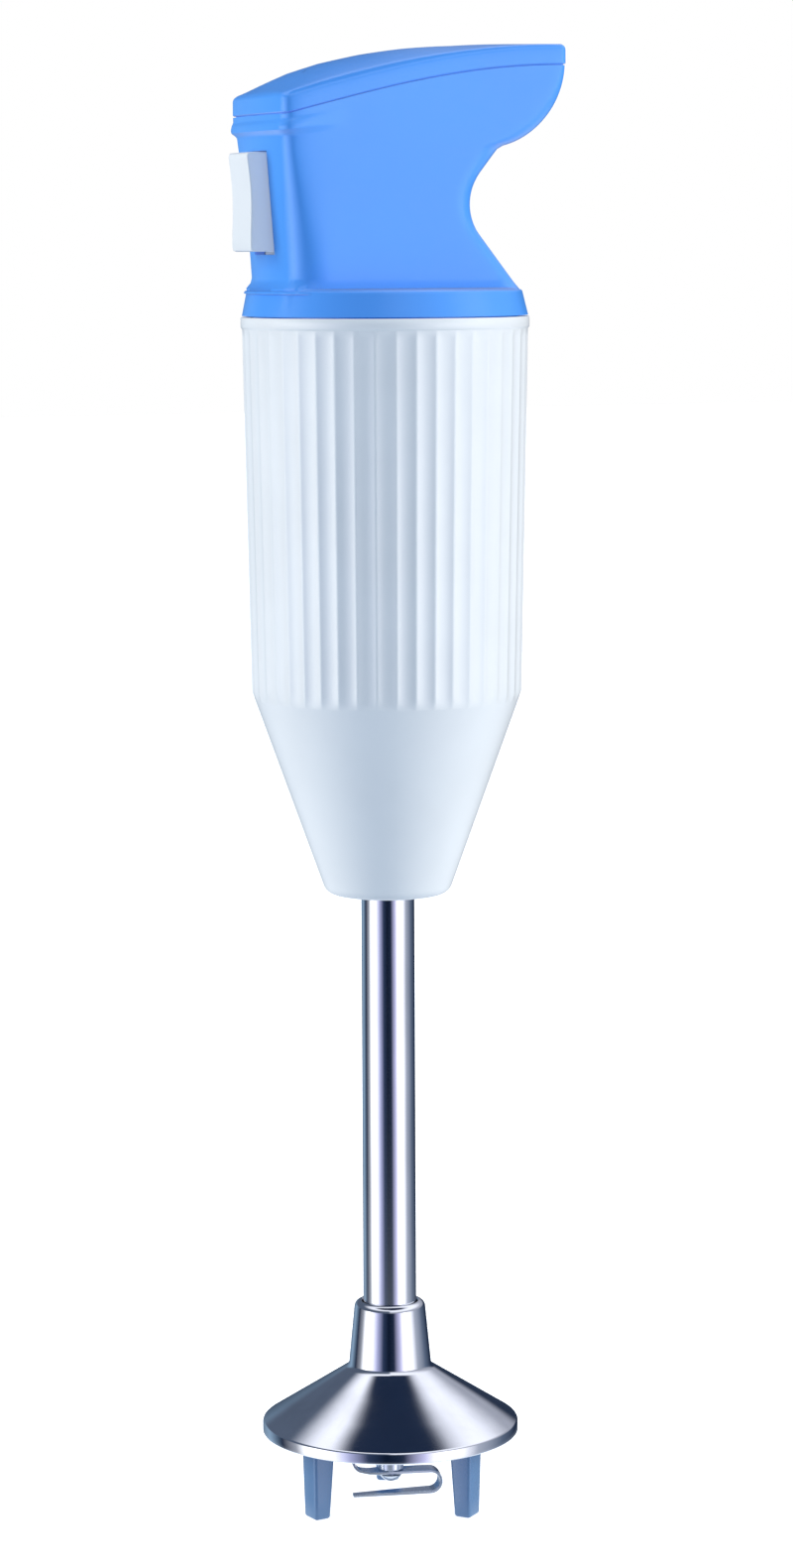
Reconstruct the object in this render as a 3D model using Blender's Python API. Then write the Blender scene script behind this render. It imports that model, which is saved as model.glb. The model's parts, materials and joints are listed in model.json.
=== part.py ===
"""Immersion blender with a fluted motor housing, a hook-shaped head and a legged bell guard.

Every sub-part is its own closed object, in metres, +Z up along the shaft.
The origin is on the shaft axis, in the plane of the three feet.
+X points to the beak of the head, -X to the switch button.
Turning parts sit on the shaft axis; the button hangs on its own pin.
"""

import bpy
import bmesh
from math import atan2, cos, hypot, pi, radians, sin, sqrt
from mathutils import Matrix, Vector

MM = 0.001
GAP = 0.3 * MM                      # clearance left between pieces that touch
OVERLAP = 0.4 * MM                  # how far a cutter or a joined shape reaches past a face

# Stations along the shaft axis, from the feet up
RIM_BOTTOM_Z = 17.1 * MM
RIM_TOP_Z = 19.6 * MM
CONE_TOP_Z = 31.5 * MM
COLLAR_FOOT_Z = 32.4 * MM
COLLAR_TOP_Z = 46.6 * MM
TUBE_TOP_Z = 156.0 * MM
HOUSING_BOTTOM_Z = 139.3 * MM
FLUTE_BOTTOM_Z = 185.2 * MM
FLUTE_TOP_Z = 266.7 * MM
HOUSING_RING_Z = 267.0 * MM
HOUSING_TOP_Z = 269.4 * MM
BAND_TOP_Z = 275.0 * MM
PILLAR_FOOT_Z = 275.7 * MM
BEAK_CORNER_Z = 306.7 * MM
SEAM_FRONT_Z = 314.2 * MM
SEAM_REAR_Z = 325.5 * MM
COVER_HEIGHT = 4.4 * MM

# Bell guard, legs and tube
TUBE_R = 6.0 * MM
TUBE_WALL = 0.8 * MM
BELL_R = 28.9 * MM
BELL_WALL = 1.0 * MM
CONE_TOP_R = 10.0 * MM
COLLAR_TOP_R = 8.05 * MM
COLLAR_FOOT_R = 9.3 * MM
BELL_BOSS_R = 8.6 * MM
BELL_BOSS_Z = 24.5 * MM
LEG_ANGLES = (190.0, 310.0, 70.0)
LEG_WIDTH = 5.2 * MM
LEG_IN_R = 17.4 * MM
LEG_OUT_R = 21.4 * MM

# Motor housing
HOUSING_RING_R = 32.5 * MM
CREST_TOP_R = 32.2 * MM
CREST_FOOT_R = 30.4 * MM
HOUSING_FOOT_R = 13.8 * MM
HOUSING_EDGE_R = 3.0 * MM
HOUSING_WALL = 2.2 * MM
HOUSING_FLOOR = 2.7 * MM
FLUTES = 44
FLUTE_DEPTH = 0.45 * MM
FIRST_CREST = -107.8                # angle of one crest, in degrees

# Head: half-width, wall and the arcs of its rear outline, in the XZ plane
HEAD_WALL = 2.2 * MM
BAND_FOOT_R = 32.2 * MM
BAND_TOP_R = 30.9 * MM
SPIGOT_R = 29.8 * MM
SPIGOT_FOOT_Z = 263.5 * MM
HEAD_FRONT_X = -31.4 * MM
HEAD_REAR_X = 37.1 * MM
SLANT_FOOT = (26.9 * MM, 275.9 * MM)
WAIST_CENTRE = (26.4 * MM, 294.4 * MM)
WAIST_R = 11.0 * MM
WAIST_LOW = 218.2
WAIST_HIGH = 139.0
BEAK_CENTRE = (20.0 * MM, 324.3 * MM)
BEAK_R = 17.2 * MM
BEAK_ANGLES = (-68.0, -55.0, -44.0, -33.0, -30.5, -18.0, -9.0)
COVER_CROWN = ((-31.5 * MM, 0.0), (-27.0 * MM, 2.2 * MM), (-20.0 * MM, 4.0 * MM), (0.0, 3.0 * MM),
               (15.0 * MM, 1.5 * MM), (30.0 * MM, 0.6 * MM), (37.4 * MM, 0.4 * MM))
COVER_FRONT = -31.5 * MM
COVER_REAR = 37.4 * MM
COVER_HALF = 17.5 * MM
COVER_FRONT_R = 4.5 * MM
COVER_REAR_R = 1.6 * MM
COVER_ROOF = 2.2 * MM
COVER_SPIGOT = 3.0 * MM
COVER_EDGE_R = 1.2 * MM
INLET_ANGLE = -32.0                 # slope of the cord inlet through the beak's end

FLANGE_SCREWS = {"flange_screw_left": -9.3 * MM, "flange_screw_right": 9.3 * MM}
CLAMP_SCREWS = {"clamp_screw_left": -6.4 * MM, "clamp_screw_right": 6.4 * MM}
CLAMP_X = 19.5 * MM
CLAMP_DEPTH = 6.0 * MM
CLAMP_Z = 314.0 * MM

# Button, pin and micro switch
PIN_X = -25.2 * MM
PIN_Z = 303.6 * MM
BUTTON_LOW_Z = 284.1 * MM
BUTTON_HIGH_Z = 306.1 * MM
BUTTON_HALF = 6.0 * MM
BUTTON_FRONT_X = -34.35 * MM
PLUNGER_Z = 290.0 * MM
SWITCH_FRONT_X = -20.5 * MM

# Motor and drive
SHAFT_R = 2.5 * MM
STATOR_LOW_Z = 206.0 * MM
STATOR_HIGH_Z = 232.0 * MM
STATOR_R = 24.0 * MM
STATOR_BORE_R = 14.3 * MM
ARMATURE_R = 13.7 * MM
COIL_LOW_Z = 200.0 * MM
COIL_HIGH_Z = 238.0 * MM
COMMUTATOR_R = 8.0 * MM
BRUSH_Z = 247.0 * MM
MOTOR_BOLTS = {"motor_bolt_left": -22.0 * MM, "motor_bolt_right": 22.0 * MM}
BOLT_R = 1.3 * MM
COUPLING_R = 7.5 * MM
DRIVE_END_Z = 8.6 * MM

# Blade: a strip bent into an S and held by a riveted hub
BLADE_ANGLE = -14.0
BLADE_THICK = 0.7 * MM
BLADE_Z = 7.5 * MM
BLADE_LOW_Z = 2.7 * MM
HUB_R = 2.95 * MM
HUB_TOP_Z = 18.0 * MM


# ---------------------------------------------------------------- scene helpers

def clear_scene():
    for old in list(bpy.data.objects):
        bpy.data.objects.remove(old, do_unlink=True)


def material(name, colour, roughness, metallic=0.0):
    mat = bpy.data.materials.get(name) or bpy.data.materials.new(name)
    mat.use_nodes = True
    shader = mat.node_tree.nodes["Principled BSDF"]
    shader.inputs["Base Color"].default_value = (*colour, 1.0)
    shader.inputs["Roughness"].default_value = roughness
    shader.inputs["Metallic"].default_value = metallic
    return mat


def blue_plastic():
    return material("blue_plastic", (0.17, 0.40, 0.86), 0.32)


def white_plastic():
    return material("white_plastic", (0.86, 0.88, 0.90), 0.30)


def chrome():
    return material("chrome", (0.80, 0.81, 0.84), 0.08, 1.0)


def polished_steel():
    return material("polished_steel", (0.70, 0.71, 0.73), 0.18, 1.0)


def leg_plastic():
    return material("leg_plastic", (0.16, 0.24, 0.36), 0.38)


def grey_plastic():
    return material("grey_plastic", (0.30, 0.31, 0.33), 0.5)


def black_plastic():
    return material("black_plastic", (0.03, 0.03, 0.035), 0.45)


def bare_steel():
    return material("bare_steel", (0.55, 0.56, 0.58), 0.35, 1.0)


def lamination_steel():
    return material("lamination_steel", (0.33, 0.34, 0.36), 0.5, 1.0)


def copper():
    return material("copper", (0.72, 0.36, 0.20), 0.4, 1.0)


def brass():
    return material("brass", (0.78, 0.60, 0.30), 0.35, 1.0)


def bronze():
    return material("bronze", (0.55, 0.40, 0.24), 0.5, 1.0)


def carbon():
    return material("carbon", (0.05, 0.05, 0.055), 0.7)


def rubber():
    return material("rubber", (0.04, 0.04, 0.04), 0.8)


def put_object(name, bm, mat, place=(0.0, 0.0, 0.0), parent=None, smooth=30.0):
    """Make the named object from bm, with its origin at place and its normals facing out."""
    bmesh.ops.recalc_face_normals(bm, faces=bm.faces)
    bmesh.ops.translate(bm, verts=bm.verts, vec=-Vector(place))
    mesh = bpy.data.meshes.new(name)
    bm.to_mesh(mesh)
    bm.free()
    mesh.shade_smooth()
    mesh.set_sharp_from_angle(angle=radians(smooth))
    obj = bpy.data.objects.new(name, mesh)
    bpy.context.scene.collection.objects.link(obj)
    obj.location = place
    mesh.materials.append(mat)
    if parent:
        obj.parent = parent
        obj.matrix_parent_inverse = Matrix.Translation(-parent.location)
    return obj


def put_empty(name, place):
    empty = bpy.data.objects.new(name, None)
    empty.empty_display_size = 0.01
    empty.location = place
    bpy.context.scene.collection.objects.link(empty)
    return empty


def combine(obj, bm, operation, name):
    """Cut bm out of obj, or join it to obj, with a hidden helper object."""
    tool = put_object(obj.name + "_" + name, bm, obj.data.materials[0])
    tool.hide_render = True
    tool.display_type = 'WIRE'
    step = obj.modifiers.new(name, 'BOOLEAN')
    step.operation = operation
    step.solver = 'EXACT'
    step.object = tool


def cut(obj, bm, name):
    combine(obj, bm, 'DIFFERENCE', name)


def join(obj, bm, name):
    combine(obj, bm, 'UNION', name)


# ---------------------------------------------------------------- shape helpers

def turned(profile, segments):
    """Spin a closed (r, z) profile about the shaft axis; points at r = 0 become poles."""
    bm = bmesh.new()
    verts = [bm.verts.new((r, 0.0, z)) for r, z in profile]
    edges = [bm.edges.new((verts[i - 1], verts[i])) for i in range(len(verts))
             if profile[i - 1][0] > 0.0 or profile[i][0] > 0.0]
    bmesh.ops.spin(bm, geom=verts + edges, cent=(0, 0, 0), axis=(0, 0, 1), dvec=(0, 0, 0),
                   angle=2.0 * pi, steps=segments, use_merge=True)
    bmesh.ops.remove_doubles(bm, verts=bm.verts, dist=1e-6)
    return bm


def ring_body(outer_r, inner_r, low_z, high_z, segments=20):
    return turned([(inner_r, low_z), (outer_r, low_z), (outer_r, high_z), (inner_r, high_z)], segments)


def disc_body(radius, low_z, high_z, segments=16):
    return turned([(0.0, low_z), (radius, low_z), (radius, high_z), (0.0, high_z)], segments)


def box(low, high):
    bm = bmesh.new()
    size = [b - a for a, b in zip(low, high)]
    middle = [(a + b) / 2.0 for a, b in zip(low, high)]
    bmesh.ops.create_cube(bm, size=1.0, matrix=Matrix.Translation(middle) @ Matrix.Diagonal((*size, 1.0)))
    return bm


def round_edges(bm, width, segments=1):
    bmesh.ops.bevel(bm, geom=list(bm.edges), offset=width, segments=segments, profile=0.5,
                    affect='EDGES')
    return bm


def prism(outline, low_z, high_z):
    """Stand a closed (x, y) outline up between two heights."""
    bm = bmesh.new()
    face = bm.faces.new([bm.verts.new((x, y, low_z)) for x, y in outline])
    top = bmesh.ops.extrude_face_region(bm, geom=[face])["geom"]
    bmesh.ops.translate(bm, verts=[v for v in top if isinstance(v, bmesh.types.BMVert)],
                        vec=(0, 0, high_z - low_z))
    return bm


def rod(start, end, radius, segments=16):
    """A round bar between two points."""
    start, end = Vector(start), Vector(end)
    bm = bmesh.new()
    turn = Vector((0, 0, 1)).rotation_difference(end - start).to_matrix().to_4x4()
    bmesh.ops.create_cone(bm, cap_ends=True, segments=segments, radius1=radius, radius2=radius,
                          depth=(end - start).length,
                          matrix=Matrix.Translation((start + end) / 2.0) @ turn)
    return bm


def merged(bodies):
    """Put several loose shapes into one mesh, as the tool of a Boolean."""
    whole = bmesh.new()
    for bm in bodies:
        mesh = bpy.data.meshes.new("part_of_tool")
        bm.to_mesh(mesh)
        bm.free()
        whole.from_mesh(mesh)
        bpy.data.meshes.remove(mesh)
    return whole


def loft(rings, loop=False, caps=True):
    """Skin equal rings of points; a loop joins the last ring to the first, caps close the ends."""
    bm = bmesh.new()
    rows = [[bm.verts.new(p) for p in ring] for ring in rings]
    count = len(rows[0])
    pairs = list(zip(rows, rows[1:]))
    if loop:
        pairs.append((rows[-1], rows[0]))
    for low, high in pairs:
        for k in range(count):
            bm.faces.new((low[k - 1], low[k], high[k], high[k - 1]))
    if caps and not loop:
        bm.faces.new(rows[0])
        bm.faces.new(rows[-1])
    return bm


def arc(centre, radius, start, end, steps):
    """Points on an arc from start to end degrees, both ends included."""
    angles = [radians(start + (end - start) * i / steps) for i in range(steps + 1)]
    return [(centre[0] + radius * cos(a), centre[1] + radius * sin(a)) for a in angles]


def between(table, z):
    """Read a value from a short list of (height, value) stations."""
    for (z0, v0), (z1, v1) in zip(table, table[1:]):
        if z <= z1:
            return v0 + (v1 - v0) * max(0.0, (z - z0) / (z1 - z0))
    return table[-1][1]


def coil(radius, wire_r, turns, low, high, steps_per_turn=9, sides=5):
    """A helical spring along Z from low to high."""
    bm_rings = []
    steps = int(turns * steps_per_turn)
    for i in range(steps + 1):
        a = 2.0 * pi * turns * i / steps
        z = low + (high - low) * i / steps
        ring = []
        for j in range(sides):
            b = 2.0 * pi * j / sides
            r = radius + wire_r * cos(b)
            ring.append((r * cos(a), r * sin(a), z + wire_r * sin(b)))
        bm_rings.append(ring)
    return loft(bm_rings)


def turn_body(bm, matrix):
    bmesh.ops.transform(bm, matrix=matrix, verts=bm.verts)
    return bm


# ---------------------------------------------------------------- head and cover

FRONT_STEPS, SIDE_STEPS, REAR_STEPS = 4, 7, 2

# Stations of the pillar: (height at the front, value)
PILLAR_FRONT = [(275.7 * MM, -30.2 * MM), (277.2 * MM, -28.7 * MM), (284.0 * MM, -29.2 * MM),
                (306.0 * MM, -30.8 * MM), (309.9 * MM, -31.0 * MM), (310.4 * MM, -32.0 * MM),
                (312.6 * MM, -31.6 * MM), (SEAM_FRONT_Z, HEAD_FRONT_X)]
PILLAR_HALF = [(275.7 * MM, 17.1 * MM), (277.2 * MM, 16.7 * MM), (306.0 * MM, 16.6 * MM),
               (SEAM_FRONT_Z, 17.4 * MM)]
FRONT_CORNER = [(275.7 * MM, 12.5 * MM), (285.0 * MM, 11.0 * MM), (295.0 * MM, 8.5 * MM),
                (306.0 * MM, 5.6 * MM), (SEAM_FRONT_Z, 4.5 * MM)]
REAR_CORNER = [(275.7 * MM, 4.8 * MM), (306.7 * MM, 4.8 * MM), (316.0 * MM, 3.0 * MM),
               (SEAM_REAR_Z, 1.4 * MM)]


def seam_z(x):
    """Height of the joint between head and cover: level at the front, rising along a sine."""
    t = (x - HEAD_FRONT_X) / (HEAD_REAR_X - HEAD_FRONT_X)
    t = min(1.0, max(0.0, (t - 0.03) / 0.97))
    return SEAM_FRONT_Z + (SEAM_REAR_Z - SEAM_FRONT_Z) * sin(t * pi / 2.0)


def plan_half(front, rear, half, front_r, rear_r):
    """One half of a rounded rectangle, from the middle of its front to the middle of its rear."""
    points = [(front, 0.0)]
    points += arc((front + front_r, half - front_r), front_r, 180.0, 90.0, FRONT_STEPS)
    length = (rear - rear_r) - (front + front_r)
    points += [(front + front_r + length * i / SIDE_STEPS, half) for i in range(1, SIDE_STEPS)]
    points += arc((rear - rear_r, half - rear_r), rear_r, 90.0, 0.0, REAR_STEPS)
    return points + [(rear, 0.0)]


def plan_ring(front, rear, half, front_r, rear_r):
    """The whole rounded rectangle; point k mirrors point -k."""
    side = plan_half(front, rear, half, front_r, rear_r)
    return side + [(x, -y) for x, y in reversed(side[1:-1])]


def rear_outline(inset):
    """Rear outline of the head in XZ: slant, waist arc, straight, then the beak's arc."""
    points = []
    waist = arc(WAIST_CENTRE, WAIST_R + inset, WAIST_LOW, WAIST_HIGH, 5)
    slant = (waist[0][0] - SLANT_FOOT[0], waist[0][1] - SLANT_FOOT[1])
    foot_z = SLANT_FOOT[1]
    foot_x = waist[0][0] - slant[0] * (waist[0][1] - foot_z) / slant[1]
    points.append((foot_x - inset * 0.4, foot_z))
    points += waist
    # straight stretch, tangent to the waist, up to where it meets the beak's arc
    a = radians(WAIST_HIGH)
    step = (sin(a), -cos(a))
    start = (waist[-1][0] - BEAK_CENTRE[0], waist[-1][1] - BEAK_CENTRE[1])
    b = start[0] * step[0] + start[1] * step[1]
    c = start[0] ** 2 + start[1] ** 2 - (BEAK_R - inset) ** 2
    reach = -b - sqrt(b * b - c)
    points.append((waist[-1][0] + step[0] * reach, waist[-1][1] + step[1] * reach))
    corner_angle = atan2(points[-1][1] - BEAK_CENTRE[1], points[-1][0] - BEAK_CENTRE[0])
    for angle in BEAK_ANGLES:
        if radians(angle) > corner_angle + radians(3.0):
            points += arc(BEAK_CENTRE, BEAK_R - inset, angle, angle, 1)[:1]
    top = (SEAM_REAR_Z - BEAK_CENTRE[1]) / (BEAK_R - inset)
    points.append((BEAK_CENTRE[0] + (BEAK_R - inset) * sqrt(1.0 - top * top), SEAM_REAR_Z))
    return points


def head_rings(inset):
    """Rings of the pillar and beak; above the beak's corner they tilt up to the seam."""
    rings = []
    outline = rear_outline(inset)
    corner_z = max(z for x, z in outline[:7])
    for rear, rear_z in outline:
        tilt = max(0.0, (rear_z - corner_z) / (SEAM_REAR_Z - corner_z))
        front_z = min(rear_z, corner_z) + tilt * (SEAM_FRONT_Z - corner_z)
        lip = min(0.0, between(PILLAR_FRONT, front_z) + 31.0 * MM) * (1.0 if tilt > 0.0 else 0.0)
        front = between(PILLAR_FRONT, front_z) - lip + inset
        ring = plan_ring(front, rear, between(PILLAR_HALF, front_z) - inset,
                         max(0.3 * MM, between(FRONT_CORNER, front_z) - inset),
                         max(0.3 * MM, between(REAR_CORNER, rear_z) - inset))
        points = []
        for x, y in ring:
            fade = max(0.0, min(1.0, (-16.0 * MM - x) / (12.0 * MM)))
            if inset > 0.0:
                fade = 0.0
            z = min(rear_z, corner_z) + tilt * (seam_z(x) - corner_z)
            points.append((x + lip * fade, y * (1.0 - lip * fade / (17.0 * MM)), z))
        rings.append(points)
    return rings


def round_ring(like, radius, z):
    """A circle whose points lie in the directions of another ring's points."""
    return [(radius * x / hypot(x, y), radius * y / hypot(x, y), z) for x, y, _ in like]


def make_head_shell():
    outer = head_rings(0.0)
    inner = head_rings(HEAD_WALL)
    shoulder_z = BAND_TOP_Z - HEAD_WALL
    inner[0] = [(x, y, shoulder_z) for x, y, z in inner[0]]
    foot = outer[0]
    rings = [round_ring(foot, BAND_FOOT_R, HOUSING_TOP_Z + GAP), round_ring(foot, BAND_TOP_R, BAND_TOP_Z)]
    rings += outer
    rings += reversed(inner)
    rings += [round_ring(foot, SPIGOT_R - HEAD_WALL, shoulder_z),
              round_ring(foot, SPIGOT_R - HEAD_WALL, SPIGOT_FOOT_Z),
              round_ring(foot, SPIGOT_R, SPIGOT_FOOT_Z),
              round_ring(foot, SPIGOT_R, HOUSING_TOP_Z + GAP)]
    head = put_object("head_shell", loft(rings, loop=True), blue_plastic())
    side_gap = BUTTON_HALF + GAP
    cut(head, box((-40.0 * MM, -side_gap, BUTTON_LOW_Z - 0.7 * MM),
                  (-23.0 * MM, side_gap, BUTTON_HIGH_Z + GAP)), "button_opening")
    hole_start, hole_end = inlet_point(BEAK_R - HEAD_WALL - 3.0 * MM), inlet_point(BEAK_R + 3.0 * MM)
    cut(head, rod(hole_start, hole_end, 4.5 * MM, 16), "cord_inlet")
    join(head, box((CLAMP_X, -8.5 * MM, 308.7 * MM), (CLAMP_X + CLAMP_DEPTH, 8.5 * MM, CLAMP_Z)),
         "clamp_block")
    cut(head, merged([rod((CLAMP_X + CLAMP_DEPTH / 2.0, y, CLAMP_Z - 4.4 * MM),
                           (CLAMP_X + CLAMP_DEPTH / 2.0, y, CLAMP_Z + OVERLAP), 1.2 * MM, 12)
                      for y in CLAMP_SCREWS.values()]), "clamp_holes")


def make_top_cover():
    """A cap that follows the seam, crowned across its width, with a spigot inside the head."""
    def ring(inset, height, share=0.0):
        plan = plan_ring(COVER_FRONT + inset, COVER_REAR - inset, COVER_HALF - inset,
                         max(0.5 * MM, COVER_FRONT_R - inset), max(0.5 * MM, COVER_REAR_R - inset))
        return [(x, y, seam_z(x) + GAP + height
                 + share * between(COVER_CROWN, x) * (1.0 - (y / COVER_HALF) ** 2)) for x, y in plan]
    top = COVER_HEIGHT
    edge = COVER_EDGE_R
    depth = HEAD_WALL + 0.9 * MM
    under = depth + COVER_ROOF
    rings = [ring(under, COVER_ROOF), ring(under, -COVER_SPIGOT), ring(depth, -COVER_SPIGOT),
             ring(depth, 0.0), ring(0.0, 0.0), ring(0.0, top - edge),
             ring(edge * 0.3, top - edge * 0.3, 0.5), ring(edge, top, 1.0)]
    rings += [ring(inset * MM, top, 1.0) for inset in (4.0, 7.0, 11.5)]
    bm = loft(rings, caps=False)
    bm.verts.ensure_lookup_table()
    count = len(rings[0])
    for start in (0, count * (len(rings) - 1)):
        side = [bm.verts[start + k] for k in range(count)]
        bm.faces.new((side[0], side[1], side[-1]))
        for k in range(1, count // 2 - 1):
            bm.faces.new((side[k], side[k + 1], side[-k - 1], side[-k]))
        bm.faces.new((side[count // 2 - 1], side[count // 2], side[count // 2 + 1]))
    put_object("top_cover", bm, blue_plastic())


def inlet_point(distance, across=0.0):
    """A point on the cord inlet's axis, measured from the centre of the beak's arc."""
    a = radians(INLET_ANGLE)
    return (BEAK_CENTRE[0] + distance * cos(a) - across * sin(a), 0.0,
            BEAK_CENTRE[1] + distance * sin(a) + across * cos(a))


def make_cord_inlet_bush():
    length_in = BEAK_R - HEAD_WALL - 2.8 * MM
    profile = [(3.1 * MM, length_in), (5.2 * MM, length_in), (5.2 * MM, length_in + 1.2 * MM),
               (4.15 * MM, length_in + 1.4 * MM), (4.15 * MM, BEAK_R - 0.6 * MM),
               (3.8 * MM, BEAK_R - 0.3 * MM), (3.1 * MM, BEAK_R - 0.3 * MM)]
    turn = Matrix.Rotation(radians(90.0 - INLET_ANGLE), 4, 'Y')
    bm = turn_body(turned(profile, 16), Matrix.Translation((BEAK_CENTRE[0], 0, BEAK_CENTRE[1])) @ turn)
    put_object("cord_inlet_bush", bm, black_plastic())


# ---------------------------------------------------------------- motor housing

def make_motor_housing():
    """Fluted barrel and cone with an open top, a flat floor and a hole for the tube."""
    bm = bmesh.new()
    pitch = 360.0 / FLUTES
    half_pitch = pitch / 2.0

    def circle(radius, z):
        return [bm.verts.new((radius * cos(a), radius * sin(a), z)) for a in
                (radians(FIRST_CREST + half_pitch * k) for k in range(2 * FLUTES))]

    def fluted(crest_r, z):
        row = []
        for k in range(FLUTES):
            for share, depth in ((0.08, 0.0), (0.36, FLUTE_DEPTH), (0.64, FLUTE_DEPTH), (0.92, 0.0)):
                a = radians(FIRST_CREST + pitch * (k + share))
                row.append(bm.verts.new(((crest_r - depth) * cos(a), (crest_r - depth) * sin(a), z)))
        return row

    def skin(low, high):
        for k in range(len(low)):
            bm.faces.new((low[k - 1], low[k], high[k], high[k - 1]))

    def to_flutes(plain, flutes):
        for k in range(FLUTES):
            q0, q1, q2 = plain[2 * k], plain[2 * k + 1], plain[(2 * k + 2) % len(plain)]
            p0, p1, p2, p3 = flutes[4 * k:4 * k + 4]
            after = flutes[(4 * k + 4) % len(flutes)]
            bm.faces.new((q0, p0, p1, q1))
            bm.faces.new((q1, p1, p2))
            bm.faces.new((q1, p2, p3, q2))
            bm.faces.new((q2, p3, after))

    edge_centre = (HOUSING_FOOT_R - HOUSING_EDGE_R + 0.9 * MM, HOUSING_BOTTOM_Z + HOUSING_EDGE_R)
    foot_edge = arc(edge_centre, HOUSING_EDGE_R, -20.4, -90.0, 3)
    floor_z = HOUSING_BOTTOM_Z + HOUSING_FLOOR
    hole_r = TUBE_R + GAP
    rows = [circle(HOUSING_RING_R, HOUSING_TOP_Z), circle(HOUSING_RING_R, HOUSING_RING_Z)]
    upper_flutes = fluted(CREST_TOP_R, FLUTE_TOP_Z)
    lower_flutes = fluted(CREST_FOOT_R, FLUTE_BOTTOM_Z)
    cone = [circle(CREST_FOOT_R - 0.5 * MM, FLUTE_BOTTOM_Z - 1.4 * MM)]
    cone += [circle(r, z) for r, z in foot_edge]
    cone += [circle(hole_r, HOUSING_BOTTOM_Z), circle(hole_r, floor_z),
             circle(HOUSING_FOOT_R - 2.6 * MM, floor_z),
             circle(CREST_FOOT_R - HOUSING_WALL - 0.7 * MM, FLUTE_BOTTOM_Z - 2.0 * MM),
             circle(HOUSING_RING_R - HOUSING_WALL, HOUSING_TOP_Z)]
    skin(rows[0], rows[1])
    to_flutes(rows[1], upper_flutes)
    skin(upper_flutes, lower_flutes)
    to_flutes(cone[0], lower_flutes)
    for low, high in zip(cone, cone[1:]):
        skin(low, high)
    skin(cone[-1], rows[0])
    housing = put_object("motor_housing", bm, white_plastic(), smooth=40.0)
    cut(housing, merged([rod((0, y, floor_z - 1.9 * MM), (0, y, floor_z + OVERLAP), 1.2 * MM, 12)
                         for y in FLANGE_SCREWS.values()]), "screw_holes")


# ---------------------------------------------------------------- tube, bell and legs

def bell_under(radius):
    """Height of the bell's inner cone at a radius."""
    slope = (CONE_TOP_Z - RIM_TOP_Z) / (BELL_R - CONE_TOP_R)
    return CONE_TOP_Z - 1.2 * MM - slope * (radius - CONE_TOP_R)


def make_shaft_tube():
    put_object("shaft_tube", ring_body(TUBE_R, TUBE_R - TUBE_WALL, 37.0 * MM, TUBE_TOP_Z, 24), chrome())


def make_bell_guard():
    bore = TUBE_R + GAP
    rim_in = BELL_R - BELL_WALL
    edge_r = 1.5 * MM
    profile = [(bore, COLLAR_TOP_Z)]
    profile += arc((COLLAR_TOP_R - edge_r, COLLAR_TOP_Z - edge_r), edge_r, 90.0, 5.0, 3)
    profile += [(COLLAR_FOOT_R, COLLAR_FOOT_Z), (COLLAR_FOOT_R + 0.2 * MM, CONE_TOP_Z + 0.3 * MM),
                (CONE_TOP_R, CONE_TOP_Z), (BELL_R - 0.2 * MM, RIM_TOP_Z + 0.1 * MM),
                (BELL_R, RIM_TOP_Z - 0.1 * MM), (BELL_R, RIM_BOTTOM_Z), (rim_in, RIM_BOTTOM_Z),
                (rim_in, bell_under(rim_in)), (BELL_BOSS_R, bell_under(BELL_BOSS_R)),
                (BELL_BOSS_R, BELL_BOSS_Z), (bore, BELL_BOSS_Z)]
    put_object("bell_guard", turned(profile, 44), chrome())


def make_guard_legs():
    """A conical carrier under the bell with three tapered legs, flat at the feet."""
    inner, outer = 11.0 * MM, 27.4 * MM
    skin = 1.8 * MM
    drop = 0.4 * MM
    profile = [(inner, bell_under(inner) - drop), (outer, bell_under(outer) - drop),
               (outer, bell_under(outer) - drop - skin), (inner, bell_under(inner) - drop - skin)]
    legs = put_object("guard_legs", turned(profile, 36), leg_plastic())
    top_in, top_out, top_half = 15.9 * MM, 22.0 * MM, 3.1 * MM
    half = LEG_WIDTH / 2.0
    edge = 0.8 * MM
    for number, angle in enumerate(LEG_ANGLES):
        sections = []
        for z, low_r, high_r, side in ((0.0, LEG_IN_R, LEG_OUT_R, half), (1.0, top_in, top_out, top_half)):
            corners = ((low_r, -side), (high_r, -side), (high_r, side), (low_r, side))
            middle = drop + skin / 2.0
            sections.append([(r, y, z * (bell_under(r) - middle)) for r, y in corners])
        bm = loft(sections)
        soft = [e for e in bm.edges if min(v.co.z for v in e.verts) < 1.0 * MM]
        bmesh.ops.bevel(bm, geom=soft, offset=edge, segments=2, profile=0.5, affect='EDGES')
        turn_body(bm, Matrix.Rotation(radians(angle), 4, 'Z'))
        join(legs, bm, "leg_%d" % number)


def make_tube_flange():
    """Flange that holds the top of the tube on the housing's floor, with its two screws."""
    floor_z = HOUSING_BOTTOM_Z + HOUSING_FLOOR + GAP
    plate_z = floor_z + 2.6 * MM
    bore = TUBE_R + GAP
    profile = [(bore, floor_z), (10.9 * MM, floor_z), (10.9 * MM, plate_z), (7.4 * MM, plate_z),
               (7.4 * MM, floor_z + 10.0 * MM), (bore, floor_z + 10.0 * MM)]
    flange = put_object("tube_flange", turned(profile, 20), grey_plastic())
    cut(flange, merged([rod((0, y, floor_z - OVERLAP), (0, y, plate_z + OVERLAP), 1.2 * MM, 12)
                        for y in FLANGE_SCREWS.values()]), "screw_holes")
    for name, y in FLANGE_SCREWS.items():
        make_screw(name, (0, y), floor_z - 1.8 * MM, plate_z + GAP, 0.9 * MM, 1.5 * MM)


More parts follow.
